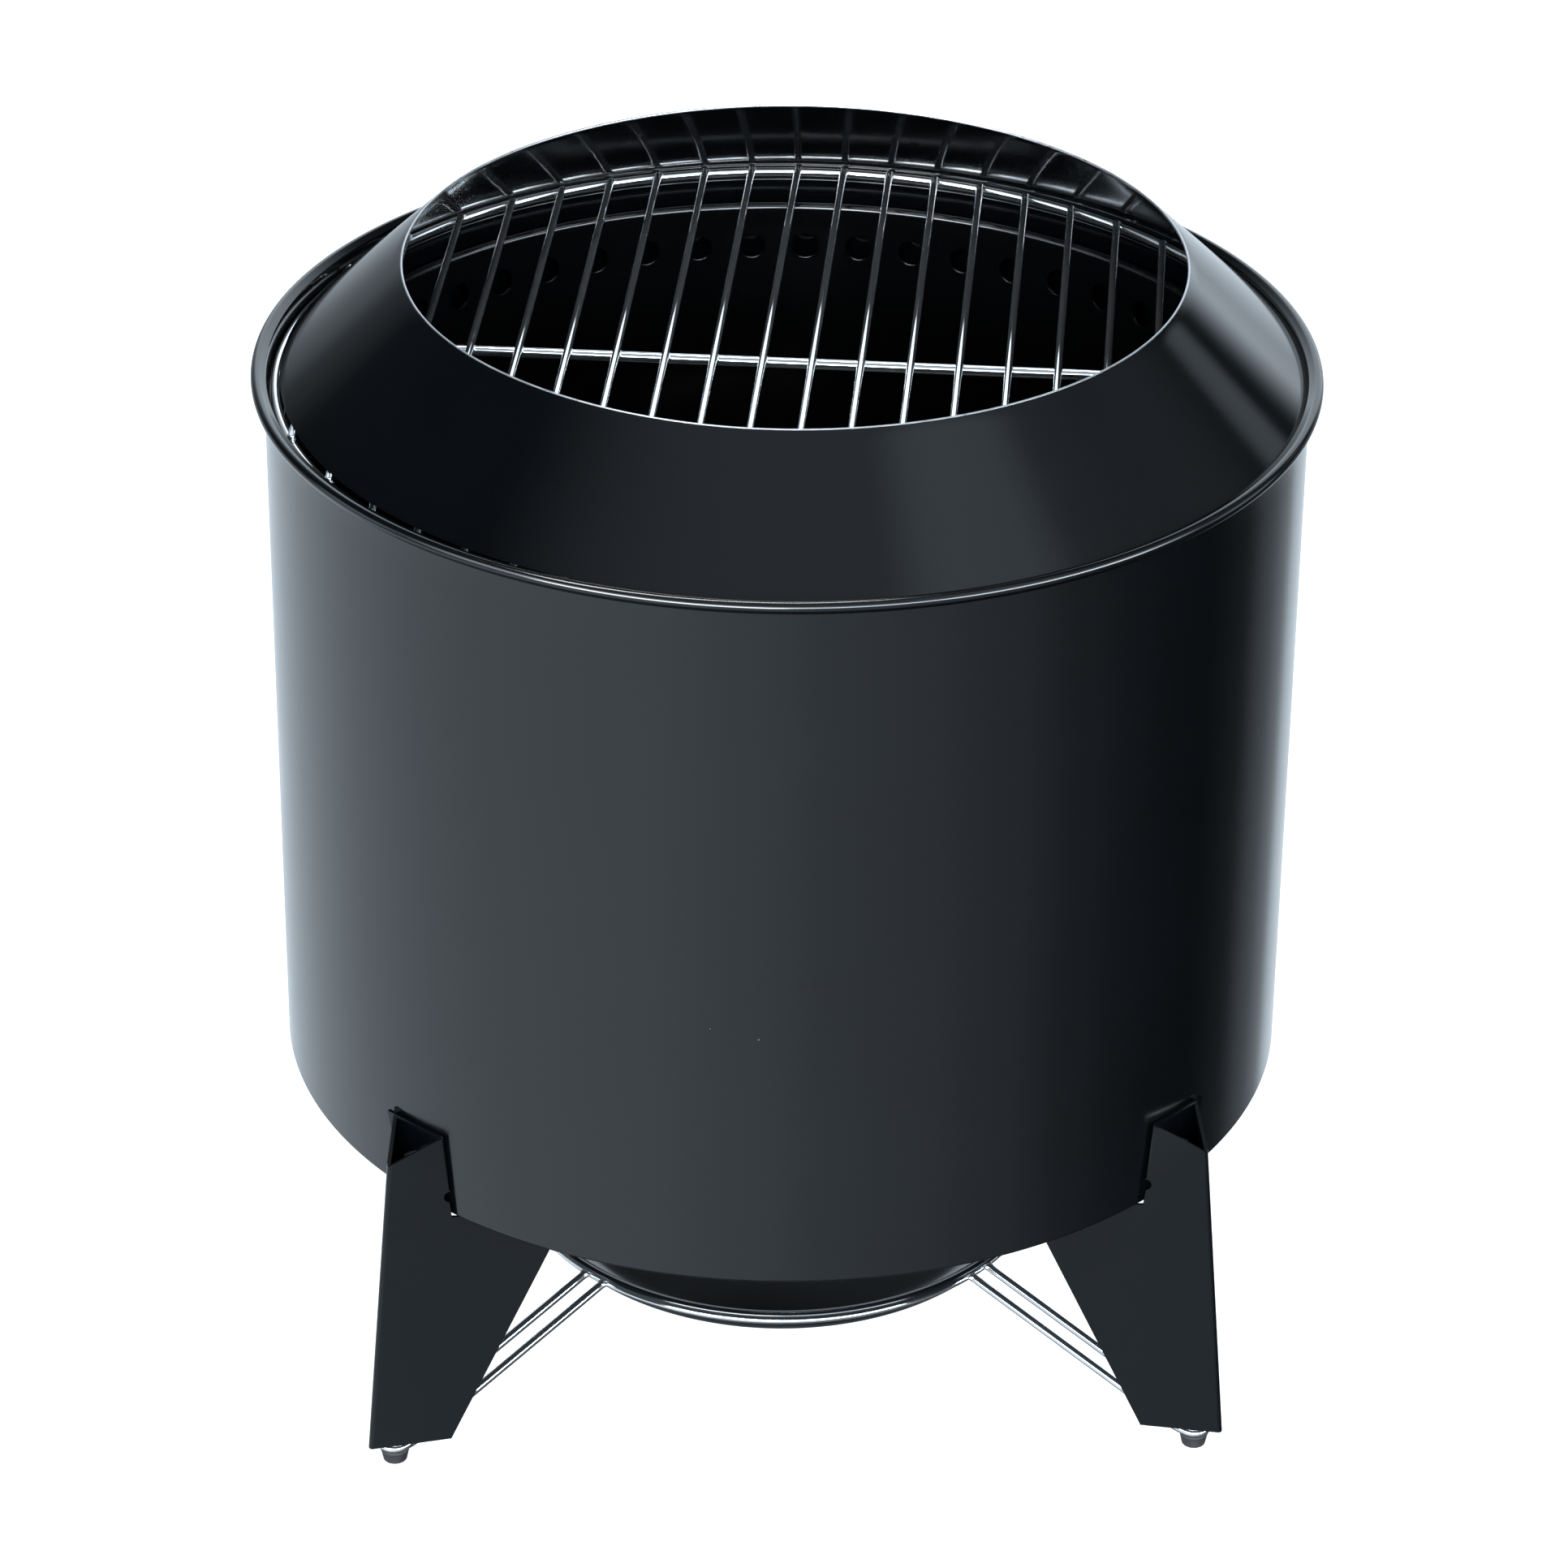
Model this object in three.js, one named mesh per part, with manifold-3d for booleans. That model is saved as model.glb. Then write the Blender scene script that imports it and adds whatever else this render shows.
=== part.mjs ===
// Garden fire pit with a cooking grate. Millimetres, +Z up, origin on the floor under the middle
// of the drum, front towards -Y.
import * as THREE from "three";
import { mergeVertices } from "three/addons/utils/BufferGeometryUtils.js";
import Module from "manifold-3d";

const wasm = await Module();
wasm.setup();

// ---------------------------------------------------------------- driving dimensions
const sheet = 1.4; // body sheet thickness
const turns = 48; // facets round each turned piece
const clearance = 0.3; // gap between pieces that touch
const weld = 0.4; // how far welded wires sink into each other

const drumRadius = 278.1; // outside of the drum wall
const drumBottom = 158.1;
const rimRadius = 285; // outermost point of the rolled rim, and of the object
const rimBead = 3.3; // section radius of the rolled rim
const rimHeight = 559.5; // height of the rim bead's centre
const ledgeTop = 548.7; // inward step that carries the cooking grate
const ledgeInner = 270.6;
const ledgeSheet = 1.6;
const ledgeReturn = 4; // depth at which the step blends back into the wall

const baseHeight = 160; // underside of the drum's base plate
const baseGap = 1.3; // between the base plate's flange and the drum wall
const baseFlange = 16;
const chuteRadius = 108; // ash chute through the base
const chuteTop = 187;
const inletCount = 12; // air inlets in the base
const inletCircle = 235;
const inletRadius = 10;

const bowlRadius = 266.3; // outside of the inner fire bowl
const bowlTurn = 1.7; // degrees the bowl is turned, which sets where its air holes lie
const bowlRimHeight = 531.3;
const bowlRimBead = 3.4;
const bowlRimCircle = 268.3;
const bowlFloor = 189.7;
const bowlCorner = 12;
const bowlMouth = 112; // opening in the bowl's floor, over the chute
const airHoles = 54; // one row under the bowl's rim
const airHoleRadius = 7.5;
const airHoleHeight = 509.5;
const standCount = 4; // folded channels that carry the bowl
const standCircle = 190;
const standWidth = 24;
const standDepth = 16;
const standSheet = 2;

const fuelRing = 122;
const fuelWire = 3;
const fuelBars = 9;
const fuelPitch = 25;

const grateRing = 272.1; // centre line of the cooking grate's ring
const grateRingWire = 2.5;
const grateRodWire = 2.1;
const grateRods = 20;
const gratePitch = 26.3;
const grateRodShift = -0.6;
const grateRodHeight = 556.2;
const grateCrossWire = 2.9;
const grateCrossShift = 15.5;
const grateTurn = -6.9; // degrees the rods are turned from the drum's front-back line

const collarFoot = 272.3; // outer radius of the flame collar's lower edge
const collarMouth = 207.5; // outer radius of its upper edge
const collarBottom = 558.7;
const collarTop = 621;
const collarShift = 3.5; // it sits loose on the grate, a little to one side

const legBearing = 46.3; // degrees from the front-back line to each leg
const legSheet = 2;
const legHalfAngle = 41; // degrees between each flange and the radial line
const legFoldTop = { r: 303, z: 189.2 };
const legFoldBottom = { r: 322.6, z: 15.5 };
const legCollarTop = 206; // height of the flange where it meets the drum
const legNotch = 157.7; // step on which the drum's bottom edge rests
const legInnerTop = 231.9; // inner end of the flange under the drum
const legInnerBottom = { r: 288.5, z: 20.3 };
const tabFace = 279; // face of the leg's mounting tab, against the drum
const tabGap = 5; // open seam between the tab and the far flange
const boltHeight = 185;
const boltRadius = 3;
const slotHeight = 170; // half-round clearance in the flange's drum edge
const slotRadius = 3.2;

const shelfHeight = 19; // shelf across the leg's fold, over the foot
const shelfReach = 11; // how far it runs inwards of the stud
const holeRadius = 3.4; // clearance hole of the bolts and studs
const boltLength = 13.5;
const boltHeadRadius = 6;
const boltHeadHeight = 3.4;
const nutRadius = 5.6; // over the corners
const nutHeight = 5;

const footCircle = 303.3;
const footTop = 8;
const footRadius = 8.1;
const footToe = 6.6;
const footEdge = 0.8;
const footSocket = 3.5; // height of the bottom of the stud's socket
const studRadius = 3;
const studTop = 27;
const washerRadius = 8;
const washerSheet = 1.2;
const lowNutTop = 18.6;
const highNutBottom = 21.4;
const highNutHeight = 4;

const braceWire = 2.4;
const braceHalfGap = 7;
const braceFootHeight = 10.8;
const braceRunStart = 294;
const braceEase = 3; // length of the soft bend from the loop to the sloping run
const braceRunEnd = 150.5;
const bracePanHeight = 43.1;

const panRimCircle = 149.4;
const panRimBead = 2.3;
const panRimHeight = 47.5;
const panSheet = 1.2;
const panFloor = 22.5;
const panFlat = 112; // radius of the flat floor
const panWall = 145.4; // outer radius of the wall under the rim
const panCurve = 22; // height of the curve from the floor to the wall
const panRingCircle = 148;
const panRingWire = 2;
const panRingHeight = 43.1;

// ---------------------------------------------------------------- helpers
const rad = THREE.MathUtils.degToRad;
const wireFlat = Math.cos(Math.PI / 6); // a six-sided wire's half height, as a share of its radius

// A closed three.js geometry as a solid, turned outside out where it came inside out.
function solid(geometry) {
  const bare = new THREE.BufferGeometry();
  const flat = geometry.index ? geometry.toNonIndexed() : geometry;
  bare.setAttribute("position", flat.getAttribute("position"));
  const merged = mergeVertices(bare, 1e-4);
  const indices = [];
  const source = merged.index.array;
  for (let i = 0; i < source.length; i += 3) {
    const [a, b, c] = [source[i], source[i + 1], source[i + 2]];
    if (a !== b && b !== c && c !== a) indices.push(a, b, c);
  }
  const build = (triVerts) =>
    new wasm.Manifold(
      new wasm.Mesh({
        numProp: 3,
        vertProperties: new Float32Array(merged.attributes.position.array),
        triVerts: new Uint32Array(triVerts),
      }),
    );
  const made = build(indices);
  if (made.volume() > 0) return made;
  const flipped = [];
  for (let i = 0; i < indices.length; i += 3) {
    flipped.push(indices[i], indices[i + 2], indices[i + 1]);
  }
  return build(flipped);
}

// A solid back as a three.js geometry.
function surface(body) {
  const mesh = body.getMesh();
  const n = mesh.numProp;
  const position = new Float32Array(mesh.numVert * 3);
  for (let i = 0; i < mesh.numVert; i++) {
    position.set(mesh.vertProperties.subarray(i * n, i * n + 3), i * 3);
  }
  const geometry = new THREE.BufferGeometry();
  geometry.setAttribute("position", new THREE.BufferAttribute(position, 3));
  geometry.setIndex(new THREE.BufferAttribute(new Uint32Array(mesh.triVerts), 1));
  geometry.computeVertexNormals();
  return geometry;
}

// Points of an arc in the (radius, height) half-plane, angles in degrees.
function arc(r, z, radius, from, to, steps) {
  const points = [];
  for (let i = 0; i <= steps; i++) {
    const a = rad(from + ((to - from) * i) / steps);
    points.push([r + radius * Math.cos(a), z + radius * Math.sin(a)]);
  }
  return points;
}

// A profile of [radius, height] pairs turned about +Z; hollow ones close on themselves.
function turned(profile, segments = turns, phase = 0) {
  const points = profile.map(([r, z]) => new THREE.Vector2(Math.max(r, 0), z));
  const onAxis = points[0].x === 0 && points[points.length - 1].x === 0;
  if (!onAxis) points.push(points[0].clone());
  const geometry = new THREE.LatheGeometry(points, segments);
  geometry.rotateX(Math.PI / 2);
  geometry.rotateZ(phase);
  return solid(geometry);
}

// Round wire along a path of Vector3 points, with flat ends or closed into a loop.
function wire(path, radius, sides = 6, closed = false) {
  const count = path.length;
  const position = [];
  const index = [];
  let normal = null;
  for (let i = 0; i < count; i++) {
    const before = path[closed ? (i + count - 1) % count : Math.max(i - 1, 0)];
    const after = path[closed ? (i + 1) % count : Math.min(i + 1, count - 1)];
    const tangent = after.clone().sub(before).normalize();
    if (!normal) {
      const helper = Math.abs(tangent.z) < 0.8 ? [0, 0, 1] : [1, 0, 0];
      normal = new THREE.Vector3(...helper);
    }
    normal.addScaledVector(tangent, -normal.dot(tangent)).normalize();
    const side = tangent.clone().cross(normal);
    for (let k = 0; k < sides; k++) {
      const a = ((k + 0.5) / sides) * 2 * Math.PI;
      const p = path[i].clone();
      p.addScaledVector(normal, radius * Math.cos(a));
      p.addScaledVector(side, radius * Math.sin(a));
      position.push(p.x, p.y, p.z);
    }
  }
  const spans = closed ? count : count - 1;
  for (let i = 0; i < spans; i++) {
    for (let k = 0; k < sides; k++) {
      const a = i * sides + k;
      const b = i * sides + ((k + 1) % sides);
      const c = ((i + 1) % count) * sides + k;
      const d = ((i + 1) % count) * sides + ((k + 1) % sides);
      index.push(a, b, d, a, d, c);
    }
  }
  if (!closed) {
    const last = (count - 1) * sides;
    for (let k = 1; k < sides - 1; k++) {
      index.push(0, k + 1, k);
      index.push(last, last + k, last + k + 1);
    }
  }
  const geometry = new THREE.BufferGeometry();
  geometry.setAttribute("position", new THREE.Float32BufferAttribute(position, 3));
  geometry.setIndex(index);
  return solid(geometry);
}

function circlePath(radius, height, segments) {
  const path = [];
  for (let i = 0; i < segments; i++) {
    const a = (i / segments) * 2 * Math.PI;
    path.push(new THREE.Vector3(radius * Math.cos(a), radius * Math.sin(a), height));
  }
  return path;
}

// Flat plate on the plane of its corners, thickened towards a direction.
function plate(corners, towards, thickness) {
  const origin = corners[0];
  const u = corners[1].clone().sub(origin).normalize();
  const n = u.clone().cross(corners[2].clone().sub(origin)).normalize();
  if (n.dot(towards) < 0) n.negate();
  const v = n.clone().cross(u);
  const shape = new THREE.Shape(
    corners.map((p) => {
      const d = p.clone().sub(origin);
      return new THREE.Vector2(d.dot(u), d.dot(v));
    }),
  );
  const geometry = new THREE.ExtrudeGeometry(shape, { depth: thickness, bevelEnabled: false });
  geometry.applyMatrix4(new THREE.Matrix4().makeBasis(u, v, n).setPosition(origin));
  return solid(geometry);
}

// Round bar between two points.
function bar(from, to, radius, sides = 12) {
  return wire([from, to], radius, sides);
}

function join(bodies) {
  return bodies.reduce((sum, body) => sum.add(body));
}

const point = (x, y, z) => new THREE.Vector3(x, y, z);
const placed = (body, degrees) => body.rotate([0, 0, degrees]);

// Cutters for round holes, which run past both faces of what they cut.
const past = 3;

function radialHole(from, to, height, radius = holeRadius, sides = 8) {
  return bar(point(from - past, 0, height), point(to + past, 0, height), radius, sides);
}

function uprightHole(distance, from, to, radius = holeRadius, sides = 8) {
  return bar(point(distance, 0, from - past), point(distance, 0, to + past), radius, sides);
}

// A disc or cylinder on +Z between two heights.
function disc(radius, from, to, segments) {
  return turned([[0, from], [radius, from], [radius, to], [0, to]], segments);
}

// ---------------------------------------------------------------- drum
function drumShell() {
  const inner = drumRadius - sheet;
  const bead = rimRadius - rimBead;
  const profile = [
    [inner, drumBottom],
    [drumRadius, drumBottom],
    [drumRadius, rimHeight - rimBead / 2],
    ...arc(bead, rimHeight, rimBead, -150, 130, 7),
    [inner, rimHeight - rimBead / 6],
    [inner, ledgeTop],
    [ledgeInner, ledgeTop],
    [ledgeInner, ledgeTop - ledgeSheet],
    [inner, ledgeTop - ledgeReturn],
  ];
  let body = turned(profile);
  for (const { azimuth } of legs) {
    body = body.subtract(placed(radialHole(inner, drumRadius, boltHeight), azimuth));
  }
  return body;
}

function drumBase() {
  const outer = drumRadius - sheet - baseGap;
  const floor = baseHeight + sheet;
  const profile = [
    [chuteRadius - sheet, baseHeight],
    [outer, baseHeight],
    [outer, baseHeight + baseFlange],
    [outer - sheet, baseHeight + baseFlange],
    [outer - sheet, floor],
    [chuteRadius, floor],
    [chuteRadius, chuteTop],
    [chuteRadius - sheet, chuteTop],
  ];
  let body = turned(profile);
  for (let i = 0; i < inletCount; i++) {
    const hole = uprightHole(inletCircle, baseHeight, floor, inletRadius);
    body = body.subtract(placed(hole, ((i + 0.5) * 360) / inletCount));
  }
  return body;
}

// ---------------------------------------------------------------- fire bowl
function fireBowl() {
  const inner = bowlRadius - sheet;
  const corner = bowlRadius - bowlCorner;
  const profile = [
    [bowlMouth, bowlFloor],
    ...arc(corner, bowlFloor + bowlCorner, bowlCorner, -90, 0, 3),
    ...arc(bowlRimCircle, bowlRimHeight, bowlRimBead, -120, 150, 5),
    [inner, bowlRimHeight - bowlRimBead / 3],
    ...arc(corner, bowlFloor + bowlCorner, bowlCorner - sheet, 0, -90, 3),
    [bowlMouth, bowlFloor + sheet],
  ];
  const holes = [];
  for (let i = 0; i < airHoles; i++) {
    const hole = radialHole(inner, bowlRadius, airHoleHeight, airHoleRadius, 6);
    holes.push(placed(hole, ((i + 0.5) * 360) / airHoles));
  }
  return placed(turned(profile, airHoles).subtract(join(holes)), bowlTurn);
}

function bowlStand(azimuth) {
  const bottom = baseHeight + sheet + clearance;
  const top = bowlFloor - clearance;
  const half = standWidth / 2;
  const inside = half - standSheet;
  const shape = new THREE.Shape([
    new THREE.Vector2(-half, 0),
    new THREE.Vector2(half, 0),
    new THREE.Vector2(half, standDepth),
    new THREE.Vector2(inside, standDepth),
    new THREE.Vector2(inside, standSheet),
    new THREE.Vector2(-inside, standSheet),
    new THREE.Vector2(-inside, standDepth),
    new THREE.Vector2(-half, standDepth),
  ]);
  const geometry = new THREE.ExtrudeGeometry(shape, { depth: top - bottom, bevelEnabled: false });
  geometry.rotateZ(-Math.PI / 2);
  geometry.translate(standCircle, 0, bottom);
  return placed(solid(geometry), azimuth);
}

function fuelGrate() {
  const ringHeight = bowlFloor + sheet + fuelWire + clearance;
  const barHeight = ringHeight + fuelWire;
  const pieces = [wire(circlePath(fuelRing, ringHeight, turns / 2), fuelWire, 6, true)];
  for (let i = 0; i < fuelBars; i++) {
    const x = (i - (fuelBars - 1) / 2) * fuelPitch;
    const reach = Math.sqrt(fuelRing ** 2 - x ** 2) - weld;
    pieces.push(bar(point(x, -reach, barHeight), point(x, reach, barHeight), fuelWire, 6));
  }
  return join(pieces);
}

// ---------------------------------------------------------------- cooking grate
function cookingGrate() {
  const ringHeight = grateRodHeight - (grateRodWire + grateRingWire) * wireFlat + weld;
  const crossHeight = grateRodHeight - (grateRodWire + grateCrossWire) * wireFlat + weld;
  const pieces = [wire(circlePath(grateRing, ringHeight, turns), grateRingWire, 6, true)];
  const rodEnds = grateRing + grateRingWire / 2;
  for (let i = 0; i < grateRods; i++) {
    const x = (i - (grateRods - 1) / 2) * gratePitch + grateRodShift;
    const reach = Math.sqrt(rodEnds ** 2 - x ** 2);
    const rod = bar(point(x, -reach, grateRodHeight), point(x, reach, grateRodHeight), grateRodWire, 6);
    pieces.push(rod);
  }
  const cross = Math.sqrt(grateRing ** 2 - grateCrossShift ** 2) - weld;
  const from = point(-cross, grateCrossShift, crossHeight);
  const to = point(cross, grateCrossShift, crossHeight);
  pieces.push(bar(from, to, grateCrossWire, 6));
  return placed(join(pieces), grateTurn);
}

// ---------------------------------------------------------------- flame collar
function flameCollar() {
  const slope = Math.atan2(collarTop - collarBottom, collarFoot - collarMouth);
  const dr = sheet * Math.sin(slope);
  const dz = sheet * Math.cos(slope);
  const profile = [
    [collarFoot, collarBottom],
    [collarMouth, collarTop],
    [collarMouth - dr, collarTop - dz],
    [collarFoot - sheet / Math.sin(slope), collarBottom],
  ];
  return turned(profile).translate([collarShift, 0, 0]);
}

// ---------------------------------------------------------------- legs
const legs = [
  { name: "front_left", azimuth: -90 - legBearing, side: 1 },
  { name: "front_right", azimuth: -90 + legBearing, side: -1 },
  { name: "rear_right", azimuth: 90 - legBearing, side: 1 },
  { name: "rear_left", azimuth: 90 + legBearing, side: -1 },
];

const foldSlope = (legFoldTop.r - legFoldBottom.r) / (legFoldTop.z - legFoldBottom.z);
const foldRadius = (z) => legFoldBottom.r + (z - legFoldBottom.z) * foldSlope;

// A point of the flange's outer face, at a radius and a height, on one side of the fold.
// Its edge against the drum keeps clear of the tab's face.
const flangeEdge = tabFace + clearance;

function onFlange(r, z, side) {
  return point(r, side * (foldRadius(z) - r) * Math.tan(rad(legHalfAngle)), z);
}

function leg({ azimuth, side }) {
  const parts = [];
  for (const s of [-1, 1]) {
    const outline = [
      onFlange(foldRadius(legFoldTop.z), legFoldTop.z, s),
      onFlange(flangeEdge, legCollarTop, s),
      onFlange(flangeEdge, legNotch, s),
      onFlange(legInnerTop, legNotch, s),
      onFlange(legInnerBottom.r, legInnerBottom.z, s),
      onFlange(foldRadius(legFoldBottom.z), legFoldBottom.z, s),
    ];
    const slot = onFlange(flangeEdge, slotHeight, s);
    const across = point(Math.sin(rad(legHalfAngle)), s * Math.cos(rad(legHalfAngle)), 0);
    const from = slot.clone().addScaledVector(across, -legSheet - past);
    const to = slot.clone().addScaledVector(across, legSheet + past);
    parts.push(plate(outline, point(-1, -s, 0), legSheet).subtract(bar(from, to, slotRadius, 10)));
  }
  // mounting tab, folded from one flange and lying against the drum
  const tabBottom = legNotch + 2 * legSheet;
  const near = (z) => onFlange(flangeEdge, z, side).y - side * weld;
  const far = (z) => onFlange(flangeEdge, z, -side).y + side * tabGap;
  const tab = [
    point(tabFace, near(legCollarTop), legCollarTop),
    point(tabFace, near(tabBottom), tabBottom),
    point(tabFace, far(tabBottom), tabBottom),
    point(tabFace, far(legCollarTop), legCollarTop),
  ];
  const hole = radialHole(tabFace, tabFace + legSheet, boltHeight);
  parts.push(plate(tab, point(1, 0, 0), legSheet).subtract(hole));
  // shelf across the fold, which the foot's stud passes through
  const inner = onFlange(footCircle - shelfReach, shelfHeight, 1);
  const outer = onFlange(foldRadius(shelfHeight) - legSheet - 1, shelfHeight, 1);
  const inset = legSheet / 2;
  const shelf = [
    point(inner.x, inner.y - inset, shelfHeight),
    point(outer.x, outer.y - inset, shelfHeight),
    point(outer.x, inset - outer.y, shelfHeight),
    point(inner.x, inset - inner.y, shelfHeight),
  ];
  const eye = uprightHole(footCircle, shelfHeight, shelfHeight + legSheet);
  parts.push(plate(shelf, point(0, 0, 1), legSheet).subtract(eye));
  return placed(join(parts), azimuth);
}

// Domed bolt through the drum wall, with its head inside.
function legBolt({ azimuth }) {
  const head = drumRadius - sheet - washerSheet;
  const dome = [
    [0, -boltHeadHeight],
    [boltHeadRadius * 0.6, -boltHeadHeight * 0.82],
    [boltHeadRadius, -boltHeadHeight * 0.18],
    [boltHeadRadius, 0],
    [boltRadius, 0],
    [boltRadius, boltLength],
    [0, boltLength],
  ];
  const body = turned(dome, 10);
  return placed(body.rotate([0, 90, 0]).translate([head, 0, boltHeight]), azimuth);
}

function legNut({ azimuth }) {
  const start = tabFace + legSheet + clearance;
  const bore = disc(holeRadius, -past, nutHeight + past, 12);
  const body = disc(nutRadius, 0, nutHeight, 6).subtract(bore);
  return placed(body.rotate([0, 90, 0]).translate([start, 0, boltHeight]), azimuth);
}

// ---------------------------------------------------------------- feet and braces
function foot({ azimuth }) {
  const socketRadius = studRadius + clearance;
  const profile = [
    [0, 0],
    [footToe - footEdge, 0],
    [footToe, footEdge],
    [footRadius, footTop],
    [socketRadius, footTop],
    [socketRadius, footSocket],
    [0, footSocket],
  ];
  return placed(turned(profile, 12).translate([footCircle, 0, 0]), azimuth);
}

// Stud with a washer on the brace's loop, and a nut on each side of the leg's shelf.
function footStud({ azimuth }) {
  const washer = braceFootHeight + braceWire + clearance;
  const body = join([
    disc(studRadius, footSocket + footEdge, studTop, 10),
    disc(washerRadius, washer, washer + washerSheet, 12),
    disc(nutRadius, washer + washerSheet / 2, lowNutTop, 6),
    disc(nutRadius, highNutBottom, highNutBottom + highNutHeight, 6),
  ]);
  return placed(body.translate([footCircle, 0, 0]), azimuth);
}

// Wire looped round the foot's stud, its two legs running in and up to the ash pan's ring.
function braceHairpin({ azimuth }) {
  const run = (side) => [
    point(braceRunEnd, side * braceHalfGap, bracePanHeight),
    point(braceRunStart, side * braceHalfGap, braceFootHeight + clearance),
    point(braceRunStart + braceEase, side * braceHalfGap, braceFootHeight),
  ];
  const loop = [];
  const steps = 8;
  for (let i = 0; i <= steps; i++) {
    const a = Math.PI / 2 - (Math.PI * i) / steps;
    const x = footCircle + braceHalfGap * Math.cos(a);
    loop.push(point(x, braceHalfGap * Math.sin(a), braceFootHeight));
  }
  const path = [...run(1), ...loop, ...run(-1).reverse()];
  return placed(wire(path, braceWire, 6), azimuth);
}

// ---------------------------------------------------------------- ash pan
function ashPan() {
  const span = panWall - panFlat;
  // quarter ellipse from the flat floor up to the wall, moved in by the sheet for the inside
  const curve = (inset) => {
    const points = [];
    const steps = 4;
    for (let i = 0; i <= steps; i++) {
      const a = ((i / steps) * Math.PI) / 2;
      const r = panFlat + (span - inset) * Math.sin(a);
      points.push([r, panFloor + panCurve - (panCurve - inset) * Math.cos(a)]);
    }
    return points;
  };
  const profile = [
    [0, panFloor],
    ...curve(0),
    [panWall, panRimHeight - panRimBead + weld],
    ...arc(panRimCircle, panRimHeight, panRimBead, -100, 150, 5),
    [panWall - panSheet, panRimHeight],
    ...curve(panSheet).reverse(),
    [0, panFloor + panSheet],
  ];
  return turned(profile, 36);
}

function panRing() {
  return wire(circlePath(panRingCircle, panRingHeight, 36), panRingWire, 6, true);
}

// ---------------------------------------------------------------- assembly
const group = new THREE.Group();
const paint = (colour, roughness, metalness) =>
  new THREE.MeshStandardMaterial({ color: colour, roughness, metalness });

function piece(name, body, material) {
  const mesh = new THREE.Mesh(surface(body), material);
  mesh.name = name;
  group.add(mesh);
}

piece("drum_shell", drumShell(), paint(0x14171a, 0.2, 0));
piece("drum_base", drumBase(), paint(0x14171a, 0.3, 0));
piece("fire_bowl", fireBowl(), paint(0x0e1012, 0.25, 0));
for (let i = 0; i < standCount; i++) {
  piece("bowl_stand_" + (i + 1), bowlStand((i * 360) / standCount), paint(0x25282b, 0.5, 0));
}
piece("fuel_grate", fuelGrate(), paint(0x2c2d2f, 0.6, 0.6));
piece("cooking_grate", cookingGrate(), paint(0xd9dcde, 0.12, 1));
piece("flame_collar", flameCollar(), paint(0x101316, 0.2, 0));
for (const place of legs) {
  piece("leg_" + place.name, leg(place), paint(0x1c1f22, 0.35, 0));
  piece("leg_bolt_" + place.name, legBolt(place), paint(0xb9bdc1, 0.25, 1));
  piece("leg_nut_" + place.name, legNut(place), paint(0xb9bdc1, 0.25, 1));
  piece("foot_" + place.name, foot(place), paint(0x0c0c0d, 0.8, 0));
  piece("foot_stud_" + place.name, footStud(place), paint(0xd0d3d6, 0.2, 1));
  piece("brace_" + place.name, braceHairpin(place), paint(0xd9dcde, 0.12, 1));
}
piece("ash_pan", ashPan(), paint(0x14171a, 0.2, 0));
piece("pan_ring", panRing(), paint(0xd9dcde, 0.12, 1));

export default group;
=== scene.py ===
"""Looks of the garden fire pit with a cooking grate.

Fine surfaces, procedural materials, light and camera, built around the CAD frame.
"""

import random
from math import atan2, cos, degrees, exp, pi, radians, sin, sqrt, tan

import bmesh
import bpy
from mathutils import Matrix, Vector


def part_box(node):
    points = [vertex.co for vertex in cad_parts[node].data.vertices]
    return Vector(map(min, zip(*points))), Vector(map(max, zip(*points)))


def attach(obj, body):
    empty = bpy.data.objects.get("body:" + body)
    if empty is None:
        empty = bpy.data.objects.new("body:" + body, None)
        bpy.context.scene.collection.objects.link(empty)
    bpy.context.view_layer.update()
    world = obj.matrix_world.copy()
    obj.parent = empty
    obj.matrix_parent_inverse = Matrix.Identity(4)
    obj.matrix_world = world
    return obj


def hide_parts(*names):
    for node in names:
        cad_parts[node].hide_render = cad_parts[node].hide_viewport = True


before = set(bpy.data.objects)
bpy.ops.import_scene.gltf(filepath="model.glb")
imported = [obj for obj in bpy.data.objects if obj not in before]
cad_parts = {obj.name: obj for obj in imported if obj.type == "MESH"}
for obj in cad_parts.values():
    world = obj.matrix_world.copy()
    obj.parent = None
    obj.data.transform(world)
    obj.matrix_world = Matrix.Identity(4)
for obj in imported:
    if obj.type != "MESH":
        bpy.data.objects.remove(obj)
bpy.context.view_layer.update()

MM = 0.001
PLACES = ("front_left", "front_right", "rear_right", "rear_left")
TAB_SIDE = {"front_left": 1, "front_right": -1, "rear_right": 1, "rear_left": -1}

# ---------------------------------------------------------------- sizes, in millimetres
ROUND = 432  # facets round the large turned pieces, a whole number for each air hole
SHEET = 1.4


def box_mm(node):
    """Lowest and highest corner of a CAD node, in millimetres."""
    low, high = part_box(node)
    return Vector(low) / MM, Vector(high) / MM


drum_low, drum_high = box_mm("drum_shell")
bowl_low, bowl_high = box_mm("fire_bowl")
collar_low, collar_high = box_mm("flame_collar")
grate_high = box_mm("cooking_grate")[1]
fuel_low, fuel_high = box_mm("fuel_grate")
base_low, base_high = box_mm("drum_base")
pan_low, pan_high = box_mm("ash_pan")
ring_low, ring_high = box_mm("pan_ring")
leg_low, leg_high = box_mm("leg_front_left")

RIM_BEAD = 3.3
RIM_RADIUS = drum_high.x
RIM_HEIGHT = drum_high.z - RIM_BEAD
DRUM_RADIUS = RIM_RADIUS - 6.9
DRUM_BOTTOM = drum_low.z
LEDGE_TOP = RIM_HEIGHT - 10.8
LEDGE_INNER = DRUM_RADIUS - 7.5

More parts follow.
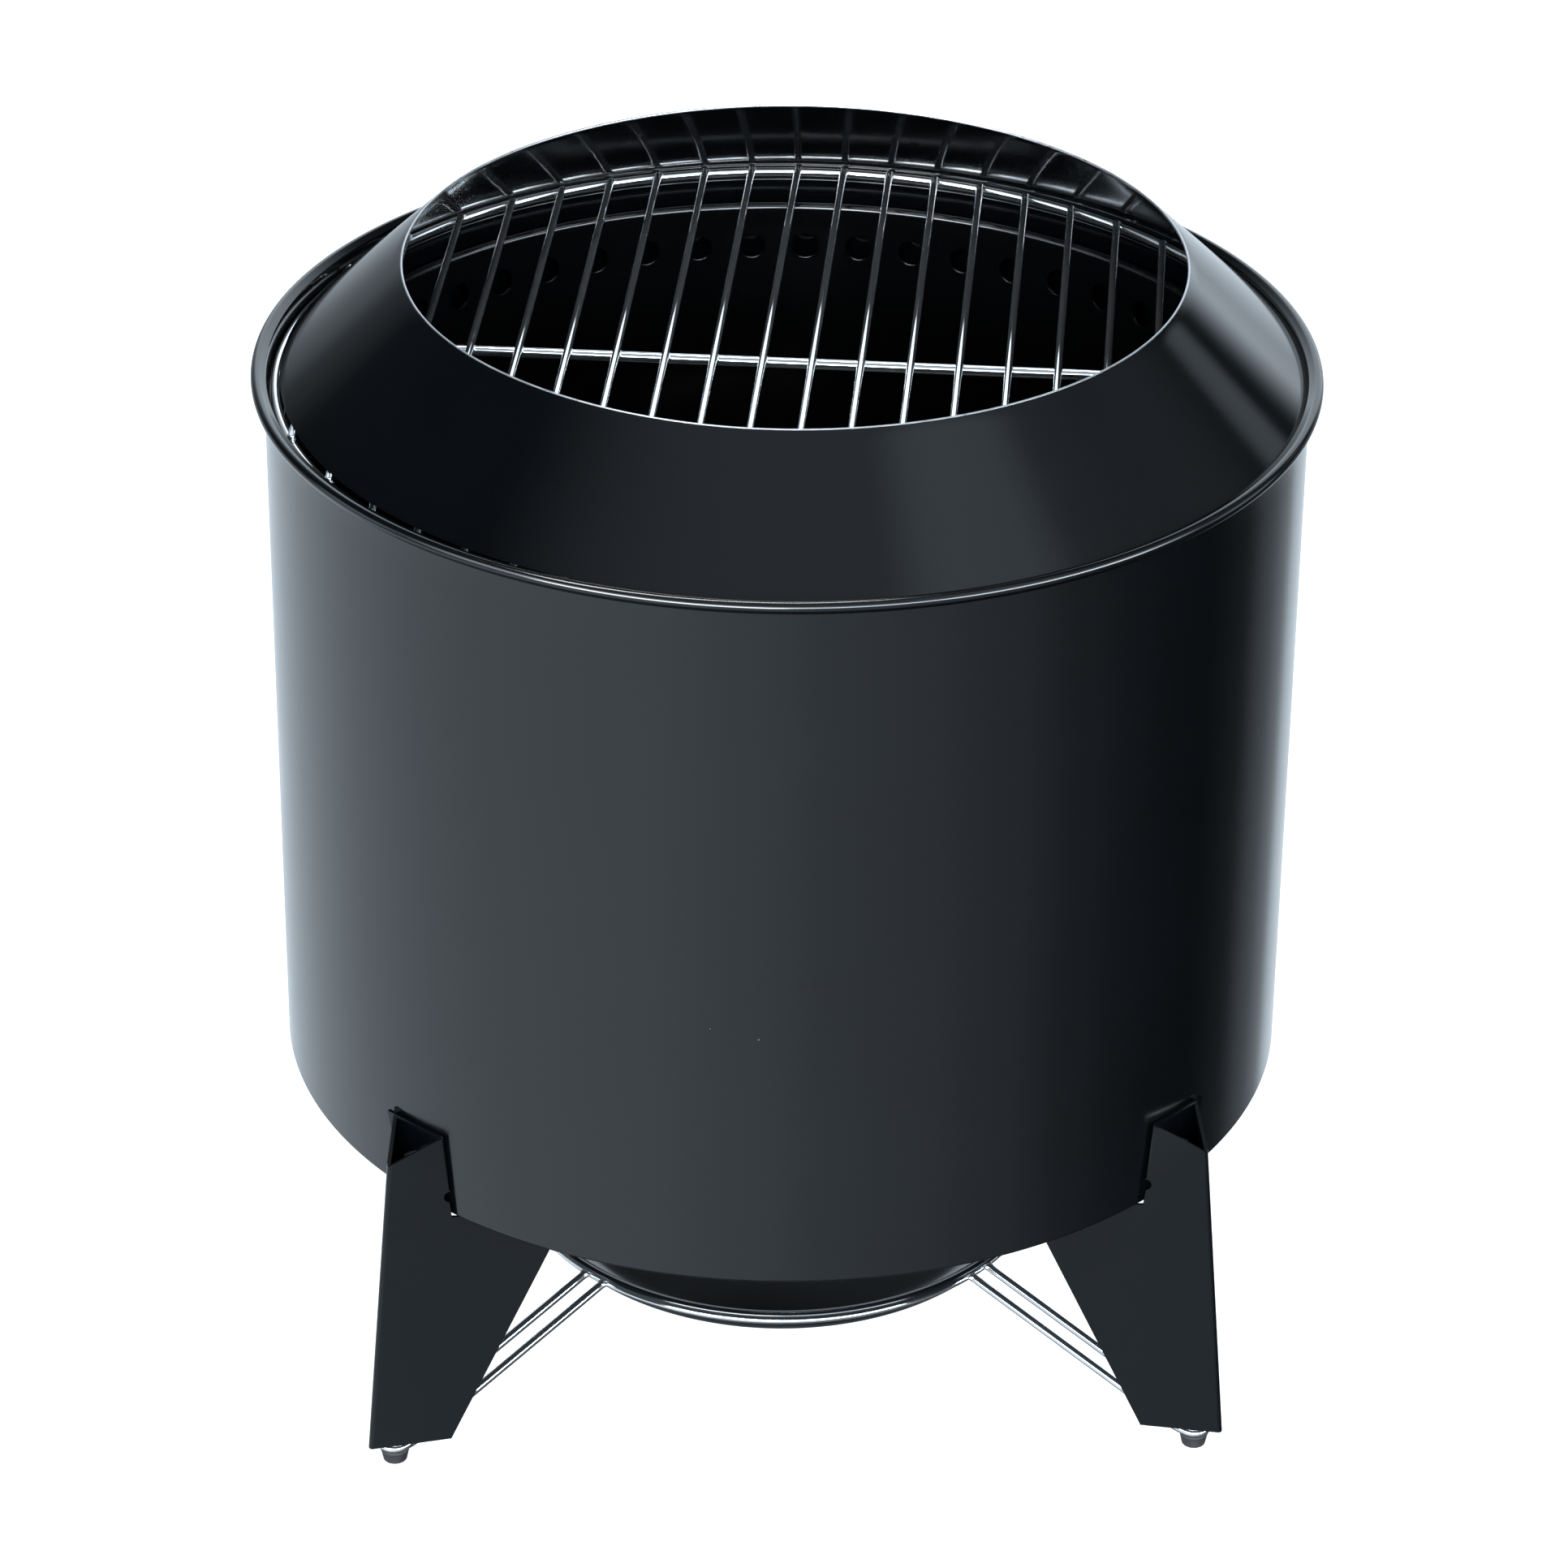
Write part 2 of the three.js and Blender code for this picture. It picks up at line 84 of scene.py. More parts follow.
BOWL_RIM_BEAD = 3.4
BOWL_RIM_CIRCLE = bowl_high.x - BOWL_RIM_BEAD + 0.1
BOWL_RIM_HEIGHT = bowl_high.z - BOWL_RIM_BEAD
BOWL_RADIUS = BOWL_RIM_CIRCLE - 2
BOWL_FLOOR = bowl_low.z
BOWL_CORNER = 12
BOWL_MOUTH = 112
BOWL_TURN = 1.7  # degrees, so that the air holes stand as in the photograph
BOWL_STAND_CIRCLE = 190
AIR_HOLES = 54
AIR_HOLE_RADIUS = 7.5
AIR_HOLE_HEIGHT = BOWL_RIM_HEIGHT - 21.8

GRATE_ROD = 2.1
GRATE_RING_WIRE = 2.5
GRATE_CROSS = 2.9
GRATE_RING = grate_high.x - GRATE_RING_WIRE
GRATE_HEIGHT = grate_high.z - 1.82
GRATE_RODS = 20
GRATE_PITCH = 26.3
GRATE_ROD_SHIFT = -0.6
GRATE_CROSS_SHIFT = 15.5
GRATE_TURN = -6.9  # degrees
GRATE_LAPPED_RODS = 2  # rods that end on top of the ring at the front
GRATE_PRESS_LENGTH = 14  # length over which the end of a rod bends down
GRATE_PRESS = 0.8

COLLAR_SHIFT = (collar_low.x + collar_high.x) / 2
COLLAR_FOOT = collar_high.x - COLLAR_SHIFT
COLLAR_MOUTH = 207.5

CAMERA_PLACE = (-0.1374, -2.7320, 1.8461)
CAMERA_TURN = (60.547, -2.89, 0.585)  # tilt, heading and roll, in degrees
CAMERA_LENS = 129.93


# ---------------------------------------------------------------- mesh helpers
def make(name, shape, material, body, stands_for=(), sharp=32):
    """A smooth mesh piece from a shape in millimetres, riding on a body."""
    mesh = bpy.data.meshes.new(name)
    mesh.from_pydata([(x * MM, y * MM, z * MM) for x, y, z in shape.verts], [], shape.faces)
    work = bmesh.new()
    work.from_mesh(mesh)
    bmesh.ops.recalc_face_normals(work, faces=work.faces)
    work.to_mesh(mesh)
    work.free()
    mesh.validate()
    mesh.polygons.foreach_set("use_smooth", [True] * len(mesh.polygons))
    mesh.set_sharp_from_angle(angle=radians(sharp))
    mesh.materials.append(material)
    piece = bpy.data.objects.new(name, mesh)
    bpy.context.scene.collection.objects.link(piece)
    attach(piece, body)
    if stands_for:
        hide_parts(*stands_for)
    return piece


class Shape:
    """Points and faces gathered for one mesh."""

    def __init__(self, verts=(), faces=()):
        self.verts = [tuple(v) for v in verts]
        self.faces = [tuple(f) for f in faces]

    def add(self, verts, faces):
        start = len(self.verts)
        self.verts.extend(tuple(v) for v in verts)
        self.faces.extend(tuple(i + start for i in f) for f in faces)
        return self

    def moved(self, matrix):
        self.verts = [tuple(matrix @ Vector(v)) for v in self.verts]
        return self


def turn_z(angle):
    return Matrix.Rotation(radians(angle), 4, "Z")


def arc(r, z, radius, start, end, steps):
    """Points of an arc in the (radius, height) half-plane, angles in degrees."""
    angles = [radians(start + (end - start) * i / steps) for i in range(steps + 1)]
    return [(r + radius * cos(a), z + radius * sin(a)) for a in angles]


def rounded(points, radii, steps=4):
    """A closed outline with each corner rounded by its radius; 0 leaves it sharp."""
    result = []
    count = len(points)
    for i, (p, radius) in enumerate(zip(points, radii)):
        p = Vector(p)
        before = (Vector(points[i - 1]) - p).normalized()
        after = (Vector(points[(i + 1) % count]) - p).normalized()
        if radius <= 0:
            result.append(tuple(p))
            continue
        for k in range(steps + 1):
            t = k / steps
            a, b = p + before * radius, p + after * radius
            result.append(tuple((1 - t) ** 2 * a + 2 * t * (1 - t) * p + t**2 * b))
    return result


def bridged(low, high):
    """Faces between two closed loops of equally many points."""
    count = len(low)
    faces = []
    for k in range(count):
        m = (k + 1) % count
        faces.append([low[k], low[m], high[m], high[k]])
    return faces


def stacked(rows, count):
    """Faces of a closed solid whose points come in rows of count, the lowest row first."""
    faces = []
    for row in range(rows - 1):
        start = row * count
        faces += bridged(range(start, start + count), range(start + count, start + 2 * count))
    faces.append(list(reversed(range(count))))
    faces.append([(rows - 1) * count + k for k in range(count)])
    return faces


def lathe(profile, segments=ROUND, bend=None, closed=True):
    """A (radius, height) profile turned about Z.

    bend(radius, height, angle) may move its points.
    """
    verts, faces, rows = [], [], []
    for r, z in profile:
        if r < 1e-6:
            rows.append([len(verts)] * segments)
            verts.append((0, 0, z))
            continue
        rows.append(list(range(len(verts), len(verts) + segments)))
        for k in range(segments):
            a = 2 * pi * k / segments
            radius, height = bend(r, z, a) if bend else (r, z)
            verts.append((radius * cos(a), radius * sin(a), height))
    last = len(rows) if closed else len(rows) - 1
    for i in range(last):
        low, high = rows[i], rows[(i + 1) % len(rows)]
        if low[0] == low[1] and high[0] == high[1]:
            continue
        faces += [list(dict.fromkeys(face)) for face in bridged(low, high)]
    return verts, faces


def tube(path, radius, sides=16, closed=False):
    """Round wire along a path, closed to a ring or with domed ends."""
    path = [Vector(p) for p in path]
    count = len(path)
    verts, faces, rings = [], [], []
    normal = None
    frames = []
    for i in range(count):
        before = path[i - 1] if closed or i else path[0]
        after = path[(i + 1) % count] if closed or i < count - 1 else path[-1]
        tangent = (after - before).normalized()
        if normal is None:
            normal = Vector((0, 0, 1)) if abs(tangent.z) < 0.8 else Vector((1, 0, 0))
        normal = (normal - tangent * normal.dot(tangent)).normalized()
        frames.append((path[i], tangent, normal.copy()))

    def ring(centre, tangent, up, size):
        side = tangent.cross(up)
        rings.append(list(range(len(verts), len(verts) + sides)))
        for k in range(sides):
            a = 2 * pi * k / sides
            verts.append(tuple(centre + size * (cos(a) * up + sin(a) * side)))

    lip = 0.45 * radius

    def cap(end, direction, a):
        """One ring of a rounded end."""
        centre, tangent, up = end
        inset = direction * lip * (1 - sin(a))
        ring(centre + tangent * inset, tangent, up, radius - lip + lip * cos(a))

    caps = [] if closed else [radians(a) for a in (75, 50, 25)]
    for a in caps:
        cap(frames[0], 1, a)
    for centre, tangent, up in frames if closed else frames[1:-1]:
        ring(centre, tangent, up, radius)
    for a in reversed(caps):
        cap(frames[-1], -1, a)
    total = len(rings) if closed else len(rings) - 1
    for i in range(total):
        faces += bridged(rings[i], rings[(i + 1) % len(rings)])
    if not closed:
        faces.append(list(reversed(rings[0])))
        faces.append(list(rings[-1]))
    return verts, faces


def blob(centre, size, sides=12, rows=6):
    """Small smooth weld bead: an ellipsoid."""
    profile = [
        (max(sin(pi * i / rows), 0), -cos(pi * i / rows))
        for i in range(rows + 1)
    ]
    profile[0] = (0, -1)
    profile[-1] = (0, 1)
    verts, faces = lathe(profile, sides, closed=False)
    return [tuple(c + v * s for c, v, s in zip(centre, vert, size)) for vert in verts], faces


def circle(radius, height, count):
    """Points of a level circle about Z."""
    points = []
    for i in range(count):
        a = 2 * pi * i / count
        points.append((radius * cos(a), radius * sin(a), height))
    return points


def perforated(profile, cells, per_cell, outer, inner, hole, edge=0.4):
    """A closed turned profile with a row of round holes through two facing bands of it.

    outer and inner are the rows after which the outside and the inside band start. hole is the
    radius of a hole and edge the rounding of its rim.
    """
    columns = cells * per_cell
    rows = len(profile)
    verts, faces = [], []
    for r, z in profile:
        for k in range(columns):
            a = 2 * pi * k / columns
            verts.append((r * cos(a), r * sin(a), z))

    def at(row, column):
        return (row % rows) * columns + column % columns

    for row in range(rows):
        if row in (outer, inner):
            continue
        for k in range(columns):
            faces.append([at(row, k), at(row, k + 1), at(row + 1, k + 1), at(row + 1, k)])
    p0, p1 = Vector(profile[outer]), Vector(profile[outer + 1])
    q0, q1 = Vector(profile[inner + 1]), Vector(profile[inner])
    length = (p1 - p0).length
    thick = ((p0 + p1) / 2 - (q0 + q1) / 2).length
    middle = ((p0 + p1) / 2).x
    cell = 2 * pi / cells

    def place(angle, along, depth):
        rz = p0.lerp(p1, along).lerp(q0.lerp(q1, along), depth)
        verts.append((rz.x * cos(angle), rz.x * sin(angle), rz.y))
        return len(verts) - 1

    loops = {}
    for depth, low, high in ((0, outer, outer + 1), (1, inner + 1, inner)):
        sides = [
            [place(c * cell, m / per_cell, depth) for m in range(1, per_cell)]
            for c in range(cells)
        ]
        for c in range(cells):
            start = c * per_cell
            right = sides[(c + 1) % cells]
            loop = [at(low, start + k) for k in range(per_cell)]
            loop += [at(low, start + per_cell)] + right
            loop += [at(high, start + per_cell - k) for k in range(per_cell)]
            loop += [at(high, start)] + sides[c][::-1]
            shares = [k / per_cell for k in range(per_cell)]
            flat = [(t, 0) for t in shares] + [(1, t) for t in shares]
            flat += [(1 - t, 1) for t in shares] + [(0, 1 - t) for t in shares]
            previous = loop
            count = len(loop)
            for share in (0.4, 0.75, 1):
                ring = []
                for k, (u, w) in enumerate(flat):
                    phi = radians(-135 + 360 * k / count)
                    radius = hole + edge
                    cu = 0.5 + radius * cos(phi) / (middle * cell)
                    cw = 0.5 + radius * sin(phi) / length
                    ring.append(
                        place((c + u + (cu - u) * share) * cell, w + (cw - w) * share, depth)
                    )
                faces += bridged(previous, ring)
                previous = ring
            loops[(depth, c)] = previous
    for c in range(cells):
        previous = loops[(0, c)]
        count = len(previous)
        share = edge / thick
        rim, near = 0.3 * edge, 0.3 * share
        for extra, depth in ((rim, near), (0, share), (0, 1 - share), (rim, 1 - near)):
            ring = []
            for k in range(count):
                phi = radians(-135 + 360 * k / count)
                cu = 0.5 + (hole + extra) * cos(phi) / (middle * cell)
                cw = 0.5 + (hole + extra) * sin(phi) / length
                ring.append(place((c + cu) * cell, cw, depth))
            faces += bridged(previous, ring)
            previous = ring
        faces += bridged(previous, loops[(1, c)])
    return verts, faces


# ---------------------------------------------------------------- materials
def new_material(name):
    """A material with its shader, the object's own coordinates and a link maker."""
    material = bpy.data.materials.new(name)
    material.use_nodes = True
    tree = material.node_tree
    tree.nodes.clear()
    out = tree.nodes.new("ShaderNodeOutputMaterial")
    shader = tree.nodes.new("ShaderNodeBsdfPrincipled")
    tree.links.new(shader.outputs[0], out.inputs[0])
    place = tree.nodes.new("ShaderNodeTexCoord")
    return material, tree, shader, place.outputs["Object"]


def noise(tree, place, scale, detail=2, roughness=0.5, stretch=None):
    node = tree.nodes.new("ShaderNodeTexNoise")
    node.inputs["Scale"].default_value = scale
    node.inputs["Detail"].default_value = detail
    node.inputs["Roughness"].default_value = roughness
    if stretch:
        mapping = tree.nodes.new("ShaderNodeMapping")
        mapping.inputs["Scale"].default_value = stretch
        tree.links.new(place, mapping.inputs["Vector"])
        place = mapping.outputs[0]
    tree.links.new(place, node.inputs["Vector"])
    return node.outputs["Fac"]


def ramp(tree, value, stops, blend="LINEAR"):
    """A colour ramp through (position, grey or colour) stops."""
    node = tree.nodes.new("ShaderNodeValToRGB")
    node.color_ramp.interpolation = blend
    elements = node.color_ramp.elements
    while len(elements) < len(stops):
        elements.new(0.5)
    for element, (position, colour) in zip(elements, stops):
        element.position = position
        rgb = colour if isinstance(colour, tuple) else (colour, colour, colour)
        element.color = (*rgb, 1)
    tree.links.new(value, node.inputs[0])
    return node.outputs[0]


def calculated(tree, kind, first, second):
    """A maths node on two sockets or numbers."""
    node = tree.nodes.new("ShaderNodeMath")
    node.operation = kind
    for socket, value in zip(node.inputs, (first, second)):
        if isinstance(value, (int, float)):
            socket.default_value = value
        else:
            tree.links.new(value, socket)
    return node.outputs[0]


def blended(tree, factor, low, high):
    """Mix of two colours or sockets by a factor socket."""
    node = tree.nodes.new("ShaderNodeMix")
    node.data_type = "RGBA"
    tree.links.new(factor, node.inputs[0])
    for socket, value in ((node.inputs[6], low), (node.inputs[7], high)):
        if isinstance(value, tuple):
            socket.default_value = (*value, 1)
        else:
            tree.links.new(value, socket)
    return node.outputs[2]


def bumped(tree, shader, height, distance, strength=1.0, before=None):
    node = tree.nodes.new("ShaderNodeBump")
    node.inputs["Strength"].default_value = strength
    node.inputs["Distance"].default_value = distance
    tree.links.new(height, node.inputs["Height"])
    if before is not None:
        tree.links.new(before, node.inputs["Normal"])
    tree.links.new(node.outputs[0], shader.inputs["Normal"])
    return node.outputs[0]


def specks(tree, place, scale, size, share):
    """Sparse round specks: 1 inside a speck, 0 elsewhere. share is the share of cells with one."""
    cells = tree.nodes.new("ShaderNodeTexVoronoi")
    cells.inputs["Scale"].default_value = scale
    tree.links.new(place, cells.inputs["Vector"])
    near = calculated(tree, "LESS_THAN", cells.outputs["Distance"], size * scale)
    split = tree.nodes.new("ShaderNodeSeparateColor")
    tree.links.new(cells.outputs["Color"], split.inputs[0])
    pick = calculated(tree, "LESS_THAN", split.outputs[0], share)
    return calculated(tree, "MULTIPLY", near, pick)


def coated(tree, shader, colour, rough):
    """Colour and roughness sockets into the shader."""
    tree.links.new(colour, shader.inputs["Base Color"])
    tree.links.new(rough, shader.inputs["Roughness"])


def scaled(colour, factor):
    return tuple(factor * c for c in colour)


def enamel(name, colour, gloss, ior, dust=0.35):
    """Vitreous enamel: deep colour, a faint orange peel, handling smudges and a little dust.

    dust is the share of places that hold a speck.
    """
    material, tree, shader, place = new_material(name)
    cloud = noise(tree, place, 7, 5, 0.6)
    tone = ramp(tree, cloud, [(0.3, scaled(colour, 0.8)), (0.7, scaled(colour, 1.25))])
    dots = specks(tree, place, 38, 0.00028, dust)
    shade = blended(tree, dots, tone, (0.42, 0.44, 0.46))
    smudge = noise(tree, place, 16, 8, 0.68)
    rough = ramp(tree, smudge, [(0.35, gloss), (0.62, gloss * 1.25), (0.8, gloss * 1.8)])
    coated(tree, shader, shade, rough)
    shader.inputs["IOR"].default_value = ior
    peel = noise(tree, place, 320, 2, 0.5)
    first = bumped(tree, shader, peel, 0.000012, 0.35)
    wave = noise(tree, place, 9, 1, 0.4)
    bumped(tree, shader, wave, 0.0006, 0.12, first)
    return material


def powder_coat(name, colour, gloss):
    """Satin powder coat: fine texture, slightly worn and scuffed."""
    material, tree, shader, place = new_material(name)
    cloud = noise(tree, place, 11, 5, 0.6)
    tone = ramp(tree, cloud, [(0.3, scaled(colour, 0.88)), (0.7, scaled(colour, 1.12))])
    scratch = noise(tree, place, 14, 3, 0.5, (0.35, 8, 3.2))
    lines = ramp(tree, scratch, [(0.715, 0.0), (0.73, 0.5), (0.74, 0.0)])
    shade = blended(tree, lines, tone, scaled(colour, 2.6))
    dots = specks(tree, place, 44, 0.0003, 0.2)
    shade = blended(tree, dots, shade, (0.4, 0.4, 0.42))
    worn = noise(tree, place, 24, 6, 0.65)
    rough = ramp(tree, worn, [(0.35, gloss), (0.75, gloss * 1.35)])
    coated(tree, shader, shade, rough)
    shader.inputs["IOR"].default_value = 1.4
    grain = noise(tree, place, 1400, 2, 0.6)
    first = bumped(tree, shader, grain, 0.00002, 0.25)
    wave = noise(tree, place, 14, 1, 0.4)
    bumped(tree, shader, wave, 0.0006, 0.1, first)
    return material


def plated(name, colour, gloss, drawn=0.00001):
    """Plated wire or hardware: bright metal, uneven polish, faint marks of the drawn wire."""
    material, tree, shader, place = new_material(name)
    cloud = noise(tree, place, 60, 4, 0.6)
    tone = ramp(tree, cloud, [(0.3, scaled(colour, 0.84)), (0.65, colour)])
    shader.inputs["Metallic"].default_value = 0.97
    patch = noise(tree, place, 130, 5, 0.65)
    rough = ramp(tree, patch, [(0.3, gloss), (0.7, gloss * 2.4)])
    coated(tree, shader, tone, rough)
    marks = noise(tree, place, 420, 3, 0.6)
    bumped(tree, shader, marks, drawn, 0.5)
    return material


def moulded_rubber(name, colour):
    """Matt moulded rubber with fine grain and a dusty bloom."""
    material, tree, shader, place = new_material(name)
    cloud = noise(tree, place, 90, 4, 0.6)
    tone = ramp(tree, cloud, [(0.35, colour), (0.75, scaled(colour, 2.2))])
    rough = ramp(tree, cloud, [(0.3, 0.55), (0.7, 0.75)])
    coated(tree, shader, tone, rough)
    grain = noise(tree, place, 1800, 3, 0.6)
    bumped(tree, shader, grain, 0.00005, 0.5)
    return material


ENAMEL = enamel("drum_enamel", (0.0009, 0.0012, 0.0016), 0.12, 1.56)
COLLAR_ENAMEL = enamel("collar_enamel", (0.0008, 0.0011, 0.0015), 0.09, 1.55)
BOWL_ENAMEL = enamel("bowl_enamel", (0.0015, 0.0016, 0.0018), 0.10, 1.55, 0.1)
PAN_ENAMEL = enamel("pan_enamel", (0.0042, 0.0048, 0.0056), 0.13, 1.6, 0.15)
LEG_PAINT = powder_coat("leg_powder_coat", (0.0006, 0.0011, 0.0016), 0.19)
CHROME = plated("chrome", (0.86, 0.875, 0.89), 0.045)
EDGE_METAL = plated("bare_edge", (0.5, 0.51, 0.53), 0.2, 0.00002)
GRATE_STEEL = plated("grate_steel", (0.24, 0.24, 0.245), 0.3, 0.00004)
GALVANISED = plated("galvanised_sheet", (0.48, 0.49, 0.5), 0.28, 0.00003)
ZINC = plated("zinc_plate", (0.72, 0.73, 0.75), 0.12, 0.00002)
RUBBER = moulded_rubber("foot_rubber", (0.011, 0.011, 0.012))


# ---------------------------------------------------------------- drum
def drum():
    """Drum wall with its rolled rim bead and the ledge that holds the grate."""
    inner = DRUM_RADIUS - SHEET
    bead = RIM_RADIUS - RIM_BEAD
    draws = random.Random(4)
    drips = [(draws.uniform(0, 2 * pi), draws.uniform(0.2, 0.7)) for _ in range(22)]

    def seam(r, z, a):
        """Rear weld seam, and small beads of enamel along the bottom edge."""
        off = (a - pi / 2) * DRUM_RADIUS
        if abs(r - DRUM_RADIUS) < 0.5 and z > DRUM_BOTTOM + 1:
            r += 0.35 * exp(-((off / 1.6) ** 2))
        if z < DRUM_BOTTOM + 0.2:
            for place, size in drips:
                z += 0.5 * size * exp(-(((a - place) * DRUM_RADIUS / 2.2) ** 2))
        return r, z

    wall_height = RIM_HEIGHT - 6 - DRUM_BOTTOM
    wall = [(DRUM_RADIUS, DRUM_BOTTOM + 1.2 + wall_height * i / 24) for i in range(25)]
    profile = [
        (inner, DRUM_BOTTOM + 0.5),
        *arc(DRUM_RADIUS - 0.7, DRUM_BOTTOM + 0.7, 0.7, -150, 0, 5),
        *wall,
        (DRUM_RADIUS + 0.15, RIM_HEIGHT - 3.4),
        *arc(bead, RIM_HEIGHT, RIM_BEAD, -158, 128, 22),
        (inner + 0.5, RIM_HEIGHT + 1.5),
        (inner, RIM_HEIGHT),
        *arc(inner - 1.8, LEDGE_TOP + 1.8, 1.8, 0, -90, 5),
        *arc(LEDGE_INNER + 0.8, LEDGE_TOP - 0.8, 0.8, 90, 270, 6),
        (inner - 1.6, LEDGE_TOP - 1.9),
        *arc(inner - 1.4, LEDGE_TOP - 3.4, 1.4, 80, 0, 4),
        (inner, (LEDGE_TOP + DRUM_BOTTOM) / 2),
    ]
    shape = Shape(*lathe(profile, ROUND, seam))
    make("drum", shape, ENAMEL, "pit", ["drum_shell"])


def base():
    """Base plate with its flange, its ring of air inlets and the ash chute."""
    flange = base_high.x
    low = base_low.z
    chute_top = base_high.z
    chute = 108
    hole_low, hole_high = 218, 252
    profile = [
        (chute - SHEET, low + 2),
        (chute - SHEET + 2, low),
        (hole_low, low),
        (hole_high, low),
        *arc(flange - 2.5, low + 2.5, 2.5, -90, 0, 5),
        (flange, low + 15.6),
        (flange - 0.7, low + 16),
        (flange - SHEET, low + 15.6),
        *arc(flange - 2.5, low + 2.5, 1.1, 0, -90, 4),
        (hole_high, low + SHEET),
        (hole_low, low + SHEET),
        (chute + 1.6, low + SHEET),
        (chute, low + 3),
        (chute, chute_top - 0.4),
        (chute - 0.7, chute_top),
        (chute - SHEET, chute_top - 0.4),
    ]
    outer = profile.index((hole_low, low))
    inner = profile.index((hole_high, low + SHEET))
    inlets, inlet_radius = 12, 10
    shape = Shape(*perforated(profile, inlets, 16, outer, inner, inlet_radius))
    make("base_plate", shape, ENAMEL, "pit", ["drum_base"])


# ---------------------------------------------------------------- fire bowl
def bowl():
    """Fire bowl with its rolled rim and its row of air holes."""
    inner = BOWL_RADIUS - SHEET
    corner = BOWL_RADIUS - BOWL_CORNER
    corner_height = BOWL_FLOOR + BOWL_CORNER
    band = 11
    band_low, band_high = AIR_HOLE_HEIGHT - band, AIR_HOLE_HEIGHT + band
    bead = arc(BOWL_RIM_CIRCLE, BOWL_RIM_HEIGHT, BOWL_RIM_BEAD, -125, 150, 16)
    profile = [
        (BOWL_MOUTH, BOWL_FLOOR + 0.5),
        (BOWL_MOUTH + 0.6, BOWL_FLOOR),
        *arc(corner, corner_height, BOWL_CORNER, -90, 0, 8),
        (BOWL_RADIUS, band_low),
        (BOWL_RADIUS, band_high),
        (BOWL_RADIUS, BOWL_RIM_HEIGHT - 4),
        *bead,
        (inner + 0.3, BOWL_RIM_HEIGHT + 0.6),
        (inner, BOWL_RIM_HEIGHT - 1),
        (inner, band_high),
        (inner, band_low),
        *arc(corner, corner_height, BOWL_CORNER - SHEET, 0, -90, 8),
        (BOWL_MOUTH + 0.6, BOWL_FLOOR + SHEET),
        (BOWL_MOUTH, BOWL_FLOOR + SHEET - 0.5),
    ]
    outer = profile.index((BOWL_RADIUS, band_low))
    hollow = profile.index((inner, band_high))
    shape = Shape(*perforated(profile, AIR_HOLES, 8, outer, hollow, AIR_HOLE_RADIUS))
    shape.moved(turn_z(BOWL_TURN))
    make("bowl", shape, BOWL_ENAMEL, "pit", ["fire_bowl"])


def bowl_stand(node, azimuth):
    """Channel folded from sheet, open side outwards."""
    low, high = box_mm(node)
    half, depth, sheet, bend = 12, 16, 2, 2.4
    corners = [(0, -half), (depth, -half), (depth, -half + sheet), (sheet, -half + sheet)]
    outside = rounded(corners, [bend, 0.4, 0.4, 0.6])
    section = outside + [(x, -y) for x, y in reversed(outside)]
    heights = (low.z, low.z + 0.3, high.z - 0.3, high.z)
    insets = (0.25, 0, 0, 0.25)
    verts = []
    middle = Vector((sheet / 2, 0))
    for height, inset in zip(heights, insets):
        for x, y in section:
            shrink = Vector((x, y)) + (middle - Vector((x, y))).normalized() * inset
            verts.append((BOWL_STAND_CIRCLE + shrink.x, shrink.y, height))
    faces = stacked(len(heights), len(section))
    shape = Shape(verts, faces).moved(turn_z(azimuth))
    name = node.replace("bowl_", "channel_")
    make(name, shape, GALVANISED, "pit", [node])


